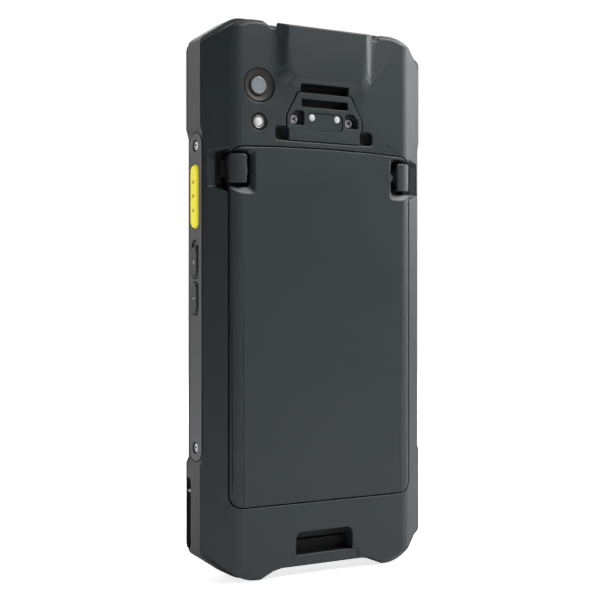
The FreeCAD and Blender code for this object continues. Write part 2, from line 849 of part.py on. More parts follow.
def support_plate():
    """Stiff metal plate behind the display, with lightening windows over the boards."""
    plate = plate_y(plate_corners(0.0), bay_end_depth, plate_far)
    cuts = [rod_y(front_camera_x, front_camera_z, front_camera_radius + 0.2,
                  bay_end_depth - 1.0, plate_far + 1.0)]
    low = cavity_low_z + plate_window_rise
    for x in plate_window_xs:
        cuts.append(block(x - plate_window_half, x + plate_window_half,
                          bay_end_depth - 1.0, plate_far + 1.0,
                          low, low + plate_window_height))
    return plate.cut(cuts)


def side_strip(side):
    """Bolt-on trim strip with the openings for the keys of one side."""
    strip = plate_x(rectangle(strip_depth_near, strip_depth_far, strip_low_z, strip_high_z,
                              (strip_depth_far - strip_depth_near) / 2 - 0.05),
                    strip_inner_x, strip_outer_x)
    cuts = []
    for low, high, near, far in key_keys(side):
        gap = key_clearance
        cuts.append(plate_x(rectangle(near - gap, far + gap, low - gap, high + gap,
                                      (far - near) / 2 - 0.3),
                            strip_inner_x - 1.0, strip_outer_x + 1.0))
    for z in (strip_screw_low_z, strip_screw_high_z):
        head_x = strip_outer_x - strip_screw_sink
        cuts.append(rod_x(head_x - 0.8, strip_outer_x + 1.0, strip_screw_depth, z,
                          strip_screw_hole_radius))
        cuts.append(rod_x(strip_inner_x - 1.0, strip_outer_x, strip_screw_depth, z,
                          strip_screw_shank_radius + 0.05))
    if side > 0:
        cuts.append(plate_x(rectangle(volume_near - 0.2, volume_far + 0.2,
                                      volume_up_low_z, volume_up_high_z + scallop_height,
                                      (volume_far - volume_near) / 2),
                            strip_outer_x - 0.7, strip_outer_x + 1.0))
    strip = strip.cut(cuts).removeSplitter()
    return strip if side > 0 else mirror_x(strip)


def strip_screws():
    """Four low-head screws, two in each side strip."""
    screws = []
    for z in (strip_screw_low_z, strip_screw_high_z):
        face_x = strip_outer_x - strip_screw_sink
        head = rod_x(face_x - 0.8, face_x, strip_screw_depth, z, strip_screw_head_radius)
        shank = rod_x(face_x - strip_screw_length, face_x - 0.8, strip_screw_depth, z,
                      strip_screw_shank_radius)
        screws += both_sides(head.fuse(shank).removeSplitter())
    return compound(screws)


def side_key(low, high, near, far, pips):
    """Key cap with a crowned face and the hidden flange that keeps it behind the strip."""
    radius = (far - near) / 2 - 0.45
    edge = 0.45
    body_x = key_outer_x - edge
    cap = plate_x(rectangle(near, far, low, high, radius), flange_outer_x, body_x)
    wire_a = rounded_wire(rectangle(near, far, low, high, radius),
                          lambda p: V(body_x, y_at(p.x), p.y))
    wire_b = rounded_wire(rectangle(near + edge, far - edge, low + edge, high - edge,
                                    radius - edge / 2),
                          lambda p: V(key_outer_x, y_at(p.x), p.y))
    crown = Part.makeLoft([wire_a, wire_b], True, True)
    margin = key_flange_margin
    flange = plate_x(rectangle(near - margin, far + margin - 0.3, low - 0.3, high + 0.3, 1.0),
                     flange_outer_x - key_flange_thickness, flange_outer_x)
    parts = [cap, crown, flange]
    middle = (low + high) / 2
    depth = (near + far) / 2
    for i in range(pips):
        z = middle + (i - (pips - 1) / 2) * pip_spacing
        parts.append(rod_x(key_outer_x - 0.1, half_width, depth, z, pip_radius))
    return fused(parts)


def key_flex(side):
    """Switch board that lies in the pocket behind the keys."""
    board = plate_x(rectangle(scan_key_near, scan_key_far - 0.3, key_pocket_low_z + 0.4,
                              key_pocket_high_z - 0.4, 0.8),
                    key_pocket_inner_x, key_pocket_inner_x + key_flex_thickness)
    return board if side > 0 else mirror_x(board)


def key_switches():
    domes = []
    for side in (-1, 1):
        for low, high, near, far in key_keys(side):
            base = key_pocket_inner_x + key_flex_thickness
            x0, x1 = sorted((side * base, side * (base + key_switch_height)))
            middle, depth = (low + high) / 2, (near + far) / 2
            domes.append(block(x0, x1, depth - key_switch_half, depth + key_switch_half,
                               middle - key_switch_half, middle + key_switch_half))
    return compound(domes)


def io_plate():
    """Contact plate: strap bar at its top, screw pockets and a window for the contacts."""
    plate = plate_y(io_outline(0.0), 0.0, io_plate_thickness)
    cuts = [plate_y(rectangle(-strap_slot_half, strap_slot_half, strap_lower_low_z,
                              strap_bar_low_z, 0.3), -1.0, io_plate_thickness + 1.0),
            plate_y(rectangle(-io_block_half, io_block_half, io_block_low_z,
                              io_block_high_z, io_block_radius),
                    -1.0, io_plate_thickness + 1.0)]
    pocket = plate_y([
        (io_pocket_inner_x, io_pocket_low_z, 0.4),
        (io_pocket_outer_x, io_pocket_low_z, 0.6),
        (io_pocket_outer_x, io_pocket_high_z - io_pocket_bevel, 0.8),
        (io_pocket_outer_x - io_pocket_bevel, io_pocket_high_z, 0.8),
        (io_pocket_inner_x, io_pocket_high_z, 0.6),
    ], -1.0, io_plate_thickness + 1.0)
    cuts += both_sides(pocket)
    cuts += both_sides(notch_tool())
    return plate.cut(cuts).removeSplitter()


def io_contact_block():
    """Insulator that seats in the plate's window and carries the two contacts."""
    inset = 0.12
    block_shape = plate_y(rectangle(-io_block_half + inset, io_block_half - inset,
                                    io_block_low_z + inset, io_block_high_z - inset,
                                    io_block_radius - inset), io_block_sink, io_block_depth)
    holes = [rod_y(x, io_pin_z, io_pin_radius, -1.0, io_block_depth - io_pin_floor)
             for x in (-io_pin_x, io_pin_x)]
    return block_shape.cut(holes)


def io_contact_pins():
    pins = []
    for x in (-io_pin_x, io_pin_x):
        pins.append(rod_y(x, io_pin_z, io_pin_radius, io_pin_sink,
                          io_block_depth - io_pin_floor))
    return compound(pins)


def io_screws():
    """Two screws that hold the contact plate, seated in its pockets."""
    screws = []
    for x in (-io_screw_x, io_screw_x):
        near = io_screw_head_depth
        head = rod_y(x, io_screw_z, io_screw_head_radius, near, near + io_screw_head_height)
        shank = rod_y(x, io_screw_z, io_screw_shank_radius, near + io_screw_head_height,
                      near + io_screw_length)
        screws.append(head.fuse(shank).removeSplitter())
    return compound(screws)


def camera_ring():
    ring = rod_y(camera_x, camera_z, camera_ring_radius, camera_window_sink,
                 camera_ring_depth)
    return ring.cut(rod_y(camera_x, camera_z, camera_lens_radius, -1.0,
                          camera_ring_depth + 1.0))


def camera_lens():
    return rod_y(camera_x, camera_z, camera_lens_radius, camera_window_sink - lens_proud,
                 camera_ring_depth)


def camera_module():
    half = camera_module_half
    return block(camera_x - half, camera_x + half, camera_ring_depth,
                 camera_module_end_depth, camera_z - half, camera_z + half)


def flash_ring():
    ring = rod_y(camera_x, flash_z, flash_radius, flash_sink, flash_depth)
    funnel = Part.makeCone(flash_radius - flash_rim, flash_window_radius, flash_funnel_depth,
                           V(camera_x, y_at(flash_sink), flash_z), V(0, -1, 0))
    hole = rod_y(camera_x, flash_z, flash_window_radius, 0.0, flash_depth + 1.0)
    return ring.cut([funnel, hole])


def flash_window():
    return rod_y(camera_x, flash_z, flash_window_radius, flash_window_sink, flash_depth)


def flash_led():
    half = flash_led_half
    return block(camera_x - half, camera_x + half, flash_depth, board_near,
                 flash_z - half, flash_z + half)


def scan_window():
    low = cavity_high_z + window_thickness
    corners = window_outline(0.15)
    return plate_z(corners, low, low + window_thickness)


def window_gasket():
    low = cavity_high_z + window_thickness - gasket_thickness
    outer = plate_z(window_outline(gasket_width), low, low + gasket_thickness)
    return outer.cut(plate_z(window_outline(2 * gasket_width), low - 1.0, overall_height))


def scan_engine():
    """Imager block with its aiming and viewing windows facing up."""
    body = block(-engine_half, engine_half, engine_near, board_near, engine_low_z,
                 cavity_high_z - 0.3)
    near = engine_eye_depth
    low = cavity_high_z - engine_eye_sink
    eyes = [block(x - half, x + half, near - half, near + half, low, low + wall)
            for x, half in engine_eyes]
    return body.cut(eyes)


def sound_mesh(z):
    return sound_slot(z, -0.02, ledge_far, ledge_far + mesh_thickness)


def earpiece_room():
    gap = seat_clearance
    return block(-earpiece_half - gap, earpiece_half + gap, plate_far, ledge_far,
                 earpiece_z - earpiece_rise - gap, earpiece_z + earpiece_rise + gap)


def earpiece():
    """Receiver capsule behind the upper sound slot."""
    return block(-earpiece_half, earpiece_half, plate_far, ledge_far,
                 earpiece_z - earpiece_rise, earpiece_z + earpiece_rise)


def front_camera():
    return rod_y(front_camera_x, front_camera_z, front_camera_radius, board_near
                 + board_thickness, glass_near)


def light_pipe():
    return rod_y(light_pipe_x, earpiece_z, light_pipe_radius, mid_frame_end_depth, body_depth)


def main_board():
    """Upper circuit board, cut away round the power key's switch."""
    corners = cavity_outline(board_half_width, cavity_low_z + board_inset,
                             cavity_high_z - board_inset, cavity_corner_cut)
    board = plate_y(corners, board_near, board_near + board_thickness)
    notch = block(power_x - power_half - 2.0, power_x + power_half + 2.0, 0.0, body_depth,
                  power_flange_z - 4.6, overall_height)
    return board.cut(notch)


def board_shields():
    """Pressed shield cans on the display side of the main board."""
    cans = []
    start = board_near + board_thickness
    low, high = cavity_low_z + shield_margin, cavity_high_z - shield_end_drop
    w = shield_wall
    for x0, x1 in ((-board_half_width + shield_margin, shield_split_x),
                   (shield_split_x + shield_spacing, cavity_inner_x - shield_inset)):
        outer = block(x0, x1, start, start + shield_height, low, high)
        inner = block(x0 + w, x1 - w, start - 1.0, start + shield_height - w,
                      low + w, high - w)
        cans.append(outer.cut(inner))
    return compound(cans)


def lower_board():
    half = lower_cavity_half - lower_board_margin
    return block(-half, half, lower_board_near, lower_board_near + board_thickness,
                 lower_cavity_high_z - lower_board_rise, lower_cavity_high_z - board_fit)


def battery_connector():
    """Sprung contact carrier that looks into the bay through its lower wall."""
    near, far = battery_contact_near, battery_contact_far
    body = block(-battery_contact_half + 0.1, battery_contact_half - 0.1, near + 0.1,
                 lower_board_near, lower_cavity_high_z - 3.0,
                 battery_low_z - seam_gap + 0.6)
    blades = [block(x - blade_half, x + blade_half, near + blade_half, lower_board_near,
                    battery_low_z - seam_gap + 0.6, battery_low_z + battery_contact_rise)
              for x in blade_xs]
    return fused([body] + blades)


def power_switch():
    return block(power_x - 2.2, power_x + 2.2, power_near - 0.4, power_far + 0.4,
                 power_flange_z - 3.3, power_flange_z - power_travel - 0.1)


def power_button():
    """Power key, almost flush in the upper edge, with its retaining flange."""
    top = overall_height - power_sink
    radius = (power_far - power_near) / 2 - 0.1
    cap = plate_z(rectangle(power_x - power_half, power_x + power_half, power_near,
                            power_far, radius),
                  power_flange_z, top)
    margin = key_flange_margin
    flange = block(power_x - power_half - margin, power_x + power_half + margin,
                   power_near - margin, power_far + margin, power_flange_z,
                   power_flange_z + power_flange_thickness)
    return fused([cap, flange])


def usb_connector():
    """Metal socket with its tongue, open downwards."""
    radius = (usb_far - usb_near) / 2 - 0.1
    low = arch_height + 0.3
    outer = plate_z(rectangle(-usb_half, usb_half, usb_near, usb_far, radius),
                    low, low + usb_length)
    w = usb_wall
    mouth = plate_z(rectangle(-usb_half + w, usb_half - w, usb_near + w, usb_far - w,
                              radius - w), low - 1.0, low + usb_length - 1.0)
    middle = (usb_near + usb_far) / 2
    tongue = block(-3.3, 3.3, middle - 0.35, middle + 0.35, low + 0.6, low + usb_length - 1.0)
    return fused([outer.cut(mouth), tongue])


def cradle_contacts():
    """Two charging pads in the lower end, with their tails up to the lower board."""
    pads = []
    for side in (-1, 1):
        x0 = side * cradle_x - cradle_half
        pads.append(block(x0, x0 + 2 * cradle_half, cradle_near, cradle_far,
                          arch_height + 0.2, lower_cavity_low_z + cradle_height))
    return compound(pads)


def loudspeaker():
    x0 = speaker_x - speaker_half
    return block(x0, x0 + 2 * speaker_half, speaker_near, speaker_far,
                 lower_cavity_low_z + 0.2, lower_cavity_high_z - 0.4)


def vibration_motor():
    z = lower_cavity_low_z + motor_radius + 2.0
    return rod_y(motor_x, z, motor_radius, motor_near, lower_board_near)


def microphones():
    half = microphone_half
    near = lower_board_near + board_thickness
    low = lower_cavity_high_z - microphone_drop
    lower = block(lower_microphone_x - half, lower_microphone_x + half, near,
                  near + microphone_height, low, low + 2 * half)
    x = camera_x + upper_microphone_shift
    low = camera_z + upper_microphone_rise
    upper = block(x - half, x + half, board_near - microphone_height, board_near,
                  low, low + 2 * half)
    return compound([lower, upper])


def strap_bar():
    """Steel bar across the strap pocket, held in the pocket's two side walls."""
    reach = strap_pocket_half + strap_bar_anchor
    return rod_x(-reach, reach, strap_bar_depth, strap_bar_z, strap_bar_radius)


def lanyard_pins():
    pins = []
    for side in (-1, 1):
        x = side * (lanyard_floor_x + half_width) / 2
        pins.append(rod_y(x, lanyard_pin_z, lanyard_pin_radius, lanyard_near - 0.6,
                          lanyard_far + 0.6))
    return compound(pins)


def body_screws():
    """Screws that draw the mid frame onto the rear housing, under the display plate."""
    screws = []
    for side in (-1, 1):
        for z in body_screw_zs:
            x = side * body_screw_x
            head_near = bay_end_depth - body_screw_head_height
            head = rod_y(x, z, body_screw_head_radius, head_near, bay_end_depth)
            shank = rod_y(x, z, body_screw_shank_radius, body_screw_tip_depth, head_near)
            screws.append(head.fuse(shank).removeSplitter())
    return compound(screws)


def battery_cover():
    """Rear skin of the battery pack, shaped to the housing, with its two lower tabs."""
    skin = plate_y(bay_outline(0.0), 0.0, battery_plate_depth).common(section_solid())
    tabs = [block(side * tab_x - tab_half_width, side * tab_x + tab_half_width,
                  tab_start_depth, tab_end_depth, battery_low_z - tab_length,
                  battery_low_z + 1.0) for side in (-1, 1)]
    return fused([skin] + tabs).cut(both_sides(recess_tool())).removeSplitter()


def cell_notch():
    """Room for one latch and its spring in the +X upper corner of the cells."""
    corner = block(recess_pocket_inner_x - 0.5, cell_half_width + 1.0,
                   battery_plate_depth - 1.0, latch_end_depth + 0.3,
                   recess_pocket_low_z - 0.4, cell_top_z + 1.0)
    z = (latch_low_z + latch_high_z) / 2
    bore = rod_x(recess_pocket_inner_x - latch_spring_reach, recess_pocket_inner_x,
                 latch_spring_depth, z, latch_spring_radius + 0.1)
    return corner.fuse(bore)


def battery_cells():
    """Cell block under the skin, with a rounded frame and a notch for each latch."""
    corners = rectangle(-cell_half_width, cell_half_width, battery_plate_depth,
                        cell_end_depth, cell_edge_radius)
    corners[0] = (-cell_half_width, battery_plate_depth, 0.0)
    corners[1] = (cell_half_width, battery_plate_depth, 0.0)
    cells = plate_z(corners, cell_low_z, cell_top_z)
    return cells.cut(both_sides(cell_notch()))


def battery_contacts():
    half = battery_pad_half
    pads = [block(x - half, x + half, battery_contact_near + 0.2, lower_board_near + 0.2,
                  cell_low_z - battery_pad_thickness, cell_low_z)
            for x in blade_xs]
    return compound(pads)


def latch():
    """Spring latch on the +X side: finger block that follows the facet, tooth and stem."""
    block_shape = plate_y(rectangle(latch_inner_x, latch_outer_x, latch_low_z, latch_high_z,
                                    latch_edge_round), 0.0, latch_end_depth)
    block_shape = block_shape.common(section_solid())
    tooth = block(latch_outer_x - 1.0, latch_outer_x + latch_tooth_length,
                  latch_tooth_start_depth, latch_tooth_end_depth,
                  latch_low_z + latch_tooth_inset, latch_high_z - latch_tooth_inset)
    z = (latch_low_z + latch_high_z) / 2
    stem = rod_x(latch_inner_x - latch_stem_length, latch_inner_x + 0.5, latch_spring_depth,
                 z, latch_stem_radius)
    return fused([block_shape, tooth, stem])


def latch_spring():
    """Compression spring round the latch's stem, seated in the bore of the cell block."""
    z = (latch_low_z + latch_high_z) / 2
    start = recess_pocket_inner_x - latch_spring_reach
    coil = rod_x(start, latch_inner_x, latch_spring_depth, z, latch_spring_radius)
    bore = rod_x(start - 1.0, latch_inner_x + 1.0, latch_spring_depth, z,
                 latch_spring_radius - latch_spring_wire)
    return coil.cut(bore)


def main():
    os.makedirs("parts", exist_ok=True)
    scan_key = side_key(*key_keys(1)[0], 3)
    right_latch = latch()
    right_spring = latch_spring()
    nodes = {
        "rear_housing": rear_housing(),
        "mid_frame": mid_frame(),
        "front_bezel": front_bezel(),
        "cover_glass": cover_glass(),
        "display_adhesive": display_adhesive(),
        "display_panel": display_panel(),
        "support_plate": support_plate(),
        "side_strip_right": side_strip(1),
        "side_strip_left": side_strip(-1),
        "strip_screws": strip_screws(),
        "key_flex_right": key_flex(1),
        "key_flex_left": key_flex(-1),
        "key_switches": key_switches(),
        "io_plate": io_plate(),
        "io_contact_block": io_contact_block(),
        "io_contact_pins": io_contact_pins(),
        "io_screws": io_screws(),
        "camera_ring": camera_ring(),
        "camera_lens": camera_lens(),
        "camera_module": camera_module(),
        "flash_ring": flash_ring(),
        "flash_window": flash_window(),
        "flash_led": flash_led(),
        "scan_window": scan_window(),
        "window_gasket": window_gasket(),
        "scan_engine": scan_engine(),
        "earpiece": earpiece(),
        "earpiece_mesh": sound_mesh(earpiece_z),
        "speaker_mesh": sound_mesh(speaker_slot_z),
        "front_camera": front_camera(),
        "light_pipe": light_pipe(),
        "main_board": main_board(),
        "board_shields": board_shields(),
        "lower_board": lower_board(),
        "battery_connector": battery_connector(),
        "power_switch": power_switch(),
        "usb_connector": usb_connector(),
        "cradle_contacts": cradle_contacts(),
        "loudspeaker": loudspeaker(),
        "vibration_motor": vibration_motor(),
        "microphones": microphones(),
        "strap_bar": strap_bar(),
        "lanyard_pins": lanyard_pins(),
        "body_screws": body_screws(),
        "battery_cover": battery_cover(),
        "battery_cells": battery_cells(),
        "battery_contacts": battery_contacts(),
        "latch_right": right_latch,
        "latch_left": mirror_x(right_latch),
        "latch_spring_right": right_spring,
        "latch_spring_left": mirror_x(right_spring),
        "scan_button_right": scan_key,
        "scan_button_left": mirror_x(scan_key),
        "volume_up_button": side_key(*key_keys(1)[1], 0),
        "volume_down_button": side_key(*key_keys(1)[2], 0),
        "programmable_button": mirror_x(side_key(*key_keys(-1)[1], 0)),
        "power_button": power_button(),
    }
    for name, shape in nodes.items():
        shape.exportStep("parts/" + name + ".step")


main()
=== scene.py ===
"""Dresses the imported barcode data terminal: mouldings, small parts, finishes and studio."""
import math

import bpy
from mathutils import Matrix, Vector
from mathutils.bvhtree import BVHTree


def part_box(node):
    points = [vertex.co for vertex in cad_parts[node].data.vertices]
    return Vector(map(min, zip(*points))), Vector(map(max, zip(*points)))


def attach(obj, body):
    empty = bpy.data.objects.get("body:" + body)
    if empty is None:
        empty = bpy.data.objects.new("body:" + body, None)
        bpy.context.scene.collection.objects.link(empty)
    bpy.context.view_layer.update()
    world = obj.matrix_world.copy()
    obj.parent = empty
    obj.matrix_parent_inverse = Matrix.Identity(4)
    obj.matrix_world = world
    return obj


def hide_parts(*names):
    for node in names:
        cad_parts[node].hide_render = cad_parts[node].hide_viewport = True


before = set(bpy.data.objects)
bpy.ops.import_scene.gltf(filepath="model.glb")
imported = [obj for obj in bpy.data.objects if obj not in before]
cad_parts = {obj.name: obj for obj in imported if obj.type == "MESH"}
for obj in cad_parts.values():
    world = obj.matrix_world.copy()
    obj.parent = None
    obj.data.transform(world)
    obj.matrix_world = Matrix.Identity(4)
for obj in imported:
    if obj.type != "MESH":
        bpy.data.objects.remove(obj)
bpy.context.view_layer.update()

bl_info = {
    "name": "Data terminal dressing",
    "version": (1, 0, 0),
    "blender": (4, 5, 0),
    "location": "View3D > Sidebar > Terminal",
    "description": "Softens, details and finishes a rugged handheld data terminal",
    "category": "Object",
}

MM = 0.001
FINISHES = {}
# The flat rear face, and where its side facets start and how fast they fall away
REAR_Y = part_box("battery_cover")[1].y
FACET_START = 27.4
FACET_SLOPE = 0.634
# Faces beyond this are the outer side walls, which never get the painted shade of the hollows
SIDE_WALL_X = 37.6
# Corners of neighbouring packed faces closer than this are one point, in metres
WELD = 2e-6
# A strip screw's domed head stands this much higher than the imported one
SCREW_RISE = 0.6
# Space left round a latch that belongs to its recess and gets its painted shade: across, in
# depth and upwards
LATCH_ROOM = Vector((1.6, 0.0, 1.2))


def linear(hex_colour):
    """Linear RGBA of an sRGB hex value."""
    parts = [int(hex_colour[i:i + 2], 16) / 255 for i in (1, 3, 5)]
    return tuple(c / 12.92 if c <= 0.04045 else ((c + 0.055) / 1.055) ** 2.4
                 for c in parts) + (1.0,)


def colour_prop(name, hex_colour, description):
    return bpy.props.FloatVectorProperty(
        name=name, description=description, subtype="COLOR", size=4, min=0.0, max=1.0,
        default=linear(hex_colour))


def length_prop(name, default_mm, description):
    return bpy.props.FloatProperty(
        name=name, description=description, default=default_mm * MM, min=0.0,
        subtype="DISTANCE", unit="LENGTH", precision=5)


class TerminalSizes(bpy.types.PropertyGroup):
    """Sizes of the added edges and small parts."""
    housing_edge: length_prop("Housing edge", 0.3, "Rounding along the housing's edges")
    battery_edge: length_prop("Battery edge", 0.25, "Rounding along the battery's edges")
    trim_edge: length_prop("Trim edge", 0.15, "Rounding along small trim and keys")
    socket_depth: length_prop("Socket depth", 0.5, "Depth of the three-lobed screw sockets")
    lens_crown: length_prop("Lens crown", 0.12, "Height of the camera window's dome")
    mark_height: length_prop("Mark height", 0.06, "How far the plus and minus stand proud")
    mesh_pitch: length_prop("Mesh pitch", 0.45, "Spacing of the holes in the sound meshes")


class TerminalColours(bpy.types.PropertyGroup):
    """Colours of the finishes."""
    charcoal: colour_prop("Charcoal", "#2a3134", "Rear housing and battery skin")
    rim: colour_prop("Rim", "#292a2b", "Mid frame and front bezel")
    strip: colour_prop("Side strip", "#464748", "Satin strips down both sides")
    yellow: colour_prop("Yellow key", "#ffee22", "Scan key cap")
    orange: colour_prop("Scan dots", "#f0c41e", "Raised dots on the scan key")
    black: colour_prop("Black key", "#292a2b", "Volume and programmable keys")
    ring: colour_prop("Camera ring", "#45423f", "Trim ring round the camera window")
    steel: colour_prop("Screw steel", "#eceded", "Screws, pins and springs")
    gold: colour_prop("Contact gold", "#d8ae5a", "Battery and charging contacts")


class TerminalStudio(bpy.types.PropertyGroup):
    """Camera and lights."""
    camera_turn: bpy.props.FloatProperty(
        name="Camera turn", description="Turn of the camera round the vertical",
        default=math.radians(31.0), subtype="ANGLE", unit="ROTATION")
    camera_reach: length_prop("Camera distance", 367.7, "Camera to the model's centre line")
    lens: bpy.props.FloatProperty(
        name="Lens", description="Focal length on a 36 mm sensor", default=73.4, min=10.0,
        subtype="DISTANCE_CAMERA")
    key_power: bpy.props.FloatProperty(
        name="Key light", description="Power of the overhead softbox", default=4.4,
        min=0.0, subtype="POWER")
    fill_power: bpy.props.FloatProperty(
        name="Fill light", description="Power of the side softbox", default=1.8,
        min=0.0, subtype="POWER")
    rim_power: bpy.props.FloatProperty(
        name="Rim light", description="Power of the strip light behind the far side",
        default=2.4, min=0.0, subtype="POWER")


# Materials


def add_node(tree, kind, settings=None, **links):
    """Adds a node, sets its properties and input values, and links the sockets given."""
    node = tree.nodes.new(kind)
    for name, value in (settings or {}).items():
        if hasattr(node, name):
            setattr(node, name, value)
        else:
            node.inputs[name].default_value = value
    for name, source in links.items():
        tree.links.new(source, node.inputs[name.replace("_", " ")])
    return node


def new_finish(name):
    material = bpy.data.materials.new(name)
    material.use_nodes = True
    tree = material.node_tree
    shader = tree.nodes["Principled BSDF"]
    place = add_node(tree, "ShaderNodeTexCoord")
    FINISHES[name] = material
    return tree, shader, place.outputs["Object"]


def mixed(tree, factor, first, second):
    """Colour that runs from first to second by a factor."""
    node = add_node(tree, "ShaderNodeMix", {"data_type": "RGBA"})
    tree.links.new(factor, node.inputs[0])
    for socket, value in ((node.inputs[6], first), (node.inputs[7], second)):
        if isinstance(value, bpy.types.NodeSocket):
            tree.links.new(value, socket)
        else:
            socket.default_value = value
    return node.outputs[2]


def shaded(colour, amount):
    return tuple(min(1.0, c * amount) for c in colour[:3]) + (1.0,)


def moulded(name, colour, grain_mm, roughness, depth_mm, scuff=0.12, coat=0.0):
    """Injection-moulded plastic: spark-eroded grain, faint cloudiness and polished scuffs."""
    tree, shader, where = new_finish(name)
    grain = add_node(tree, "ShaderNodeTexNoise",
                     {"Scale": 1 / (grain_mm * MM), "Detail": 3.0, "Roughness": 0.6},
                     Vector=where)
    cloud = add_node(tree, "ShaderNodeTexNoise", {"Scale": 45.0, "Detail": 2.0},
                     Vector=where)
    fleck = mixed(tree, grain.outputs["Fac"], shaded(colour, 0.82), shaded(colour, 1.16))
    tint = mixed(tree, cloud.outputs["Fac"], fleck, shaded(colour, 1.0 + scuff))
    tree.links.new(tint, shader.inputs["Base Color"])
    rough = add_node(tree, "ShaderNodeMapRange",
                     {"To Min": roughness - 0.07, "To Max": roughness + 0.07},
                     Value=cloud.outputs["Fac"])
    tree.links.new(rough.outputs[0], shader.inputs["Roughness"])
    bump = add_node(tree, "ShaderNodeBump", {"Strength": 0.6, "Distance": depth_mm * MM},
                    Height=grain.outputs["Fac"])
    tree.links.new(bump.outputs[0], shader.inputs["Normal"])
    shader.inputs["IOR"].default_value = 1.52
    shader.inputs["Coat Weight"].default_value = coat
    return FINISHES[name]


def metal(name, colour, roughness, streak_mm=0.6, depth_mm=0.01, bare=1.0):
    """Turned or stamped metal: fine streaks from the tool, slight change of polish.

    A value of bare under 1 is a dull plated skin, which scatters part of the light.
    """
    tree, shader, where = new_finish(name)
    streak = add_node(tree, "ShaderNodeTexNoise",
                      {"Scale": 1 / (streak_mm * MM), "Detail": 4.0}, Vector=where)
    tint = mixed(tree, streak.outputs["Fac"], shaded(colour, 0.85), shaded(colour, 1.1))
    tree.links.new(tint, shader.inputs["Base Color"])
    rough = add_node(tree, "ShaderNodeMapRange",
                     {"To Min": roughness - 0.06, "To Max": roughness + 0.1},
                     Value=streak.outputs["Fac"])
    tree.links.new(rough.outputs[0], shader.inputs["Roughness"])
    bump = add_node(tree, "ShaderNodeBump", {"Strength": 0.4, "Distance": depth_mm * MM},
                    Height=streak.outputs["Fac"])
    tree.links.new(bump.outputs[0], shader.inputs["Normal"])
    shader.inputs["Metallic"].default_value = bare
    return FINISHES[name]


def gloss(name, colour, second, roughness, ior=1.5, coat=0.5):
    """Polished glass or window resin over a dark print, with a faint unevenness."""
    tree, shader, where = new_finish(name)
    haze = add_node(tree, "ShaderNodeTexNoise", {"Scale": 30.0, "Detail": 2.0}, Vector=where)
    tint = mixed(tree, haze.outputs["Fac"], colour, second)
    tree.links.new(tint, shader.inputs["Base Color"])
    rough = add_node(tree, "ShaderNodeMapRange",
                     {"To Min": roughness, "To Max": roughness + 0.04},
                     Value=haze.outputs["Fac"])
    tree.links.new(rough.outputs[0], shader.inputs["Roughness"])
    shader.inputs["IOR"].default_value = ior
    shader.inputs["Coat Weight"].default_value = coat
    return FINISHES[name]


def make_display_glass(colours):
    """Chemically strengthened glass with a black printed border round the display area."""
    tree, shader, where = new_finish("display_cover_glass")
    low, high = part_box("display_panel")
    inset = 1.6 * MM
    apart = add_node(tree, "ShaderNodeSeparateXYZ", Vector=where)
    masks = []
    for axis, near, far in (("X", low.x, high.x), ("Z", low.z, high.z)):
        middle, half = (near + far) / 2, (far - near) / 2 - inset
        off = add_node(tree, "ShaderNodeMath", {"operation": "SUBTRACT"})
        tree.links.new(apart.outputs[axis], off.inputs[0])
        off.inputs[1].default_value = middle
        size = add_node(tree, "ShaderNodeMath", {"operation": "ABSOLUTE"})
        tree.links.new(off.outputs[0], size.inputs[0])
        inside = add_node(tree, "ShaderNodeMath", {"operation": "LESS_THAN"})
        tree.links.new(size.outputs[0], inside.inputs[0])
        inside.inputs[1].default_value = half
        masks.append(inside.outputs[0])
    both = add_node(tree, "ShaderNodeMath", {"operation": "MULTIPLY"})
    tree.links.new(masks[0], both.inputs[0])
    tree.links.new(masks[1], both.inputs[1])
    haze = add_node(tree, "ShaderNodeTexNoise", {"Scale": 25.0, "Detail": 2.0}, Vector=where)
    dark = mixed(tree, haze.outputs["Fac"], linear("#1c2026"), linear("#252a31"))
    tint = mixed(tree, both.outputs[0], linear("#0a0b0c"), dark)
    tree.links.new(tint, shader.inputs["Base Color"])
    rough = add_node(tree, "ShaderNodeMapRange", {"To Min": 0.05, "To Max": 0.09},
                     Value=haze.outputs["Fac"])
    tree.links.new(rough.outputs[0], shader.inputs["Roughness"])
    shader.inputs["IOR"].default_value = 1.51
    shader.inputs["Coat Weight"].default_value = 0.3


def make_board():
    """Glass-fibre circuit board: green solder mask over woven cloth with copper tracks."""
    tree, shader, where = new_finish("solder_masked_board")
    tracks = add_node(tree, "ShaderNodeTexBrick",
                      {"Scale": 260.0, "Mortar Size": 0.03,
                       "Color1": linear("#1d4a35"), "Color2": linear("#235640"),
                       "Mortar": linear("#3a7a55")}, Vector=where)
    tree.links.new(tracks.outputs["Color"], shader.inputs["Base Color"])
    shader.inputs["Roughness"].default_value = 0.42


def make_mesh_cloth(pitch):
    """Woven steel mesh behind the sound slots: round holes at a fixed pitch."""
    tree, shader, where = new_finish("woven_sound_mesh")
    cells = add_node(tree, "ShaderNodeTexVoronoi",
                     {"Scale": 1 / pitch, "Randomness": 0.0}, Vector=where)
    hole = add_node(tree, "ShaderNodeMapRange",
                    {"From Min": 0.25, "From Max": 0.42}, Value=cells.outputs["Distance"])
    tint = mixed(tree, hole.outputs[0], linear("#050505"), linear("#4c4d4e"))
    tree.links.new(tint, shader.inputs["Base Color"])
    bump = add_node(tree, "ShaderNodeBump", {"Strength": 0.8, "Distance": 0.08 * MM},
                    Height=hole.outputs[0])
    tree.links.new(bump.outputs[0], shader.inputs["Normal"])
    shader.inputs["Roughness"].default_value = 0.45
    shader.inputs["Metallic"].default_value = 0.6


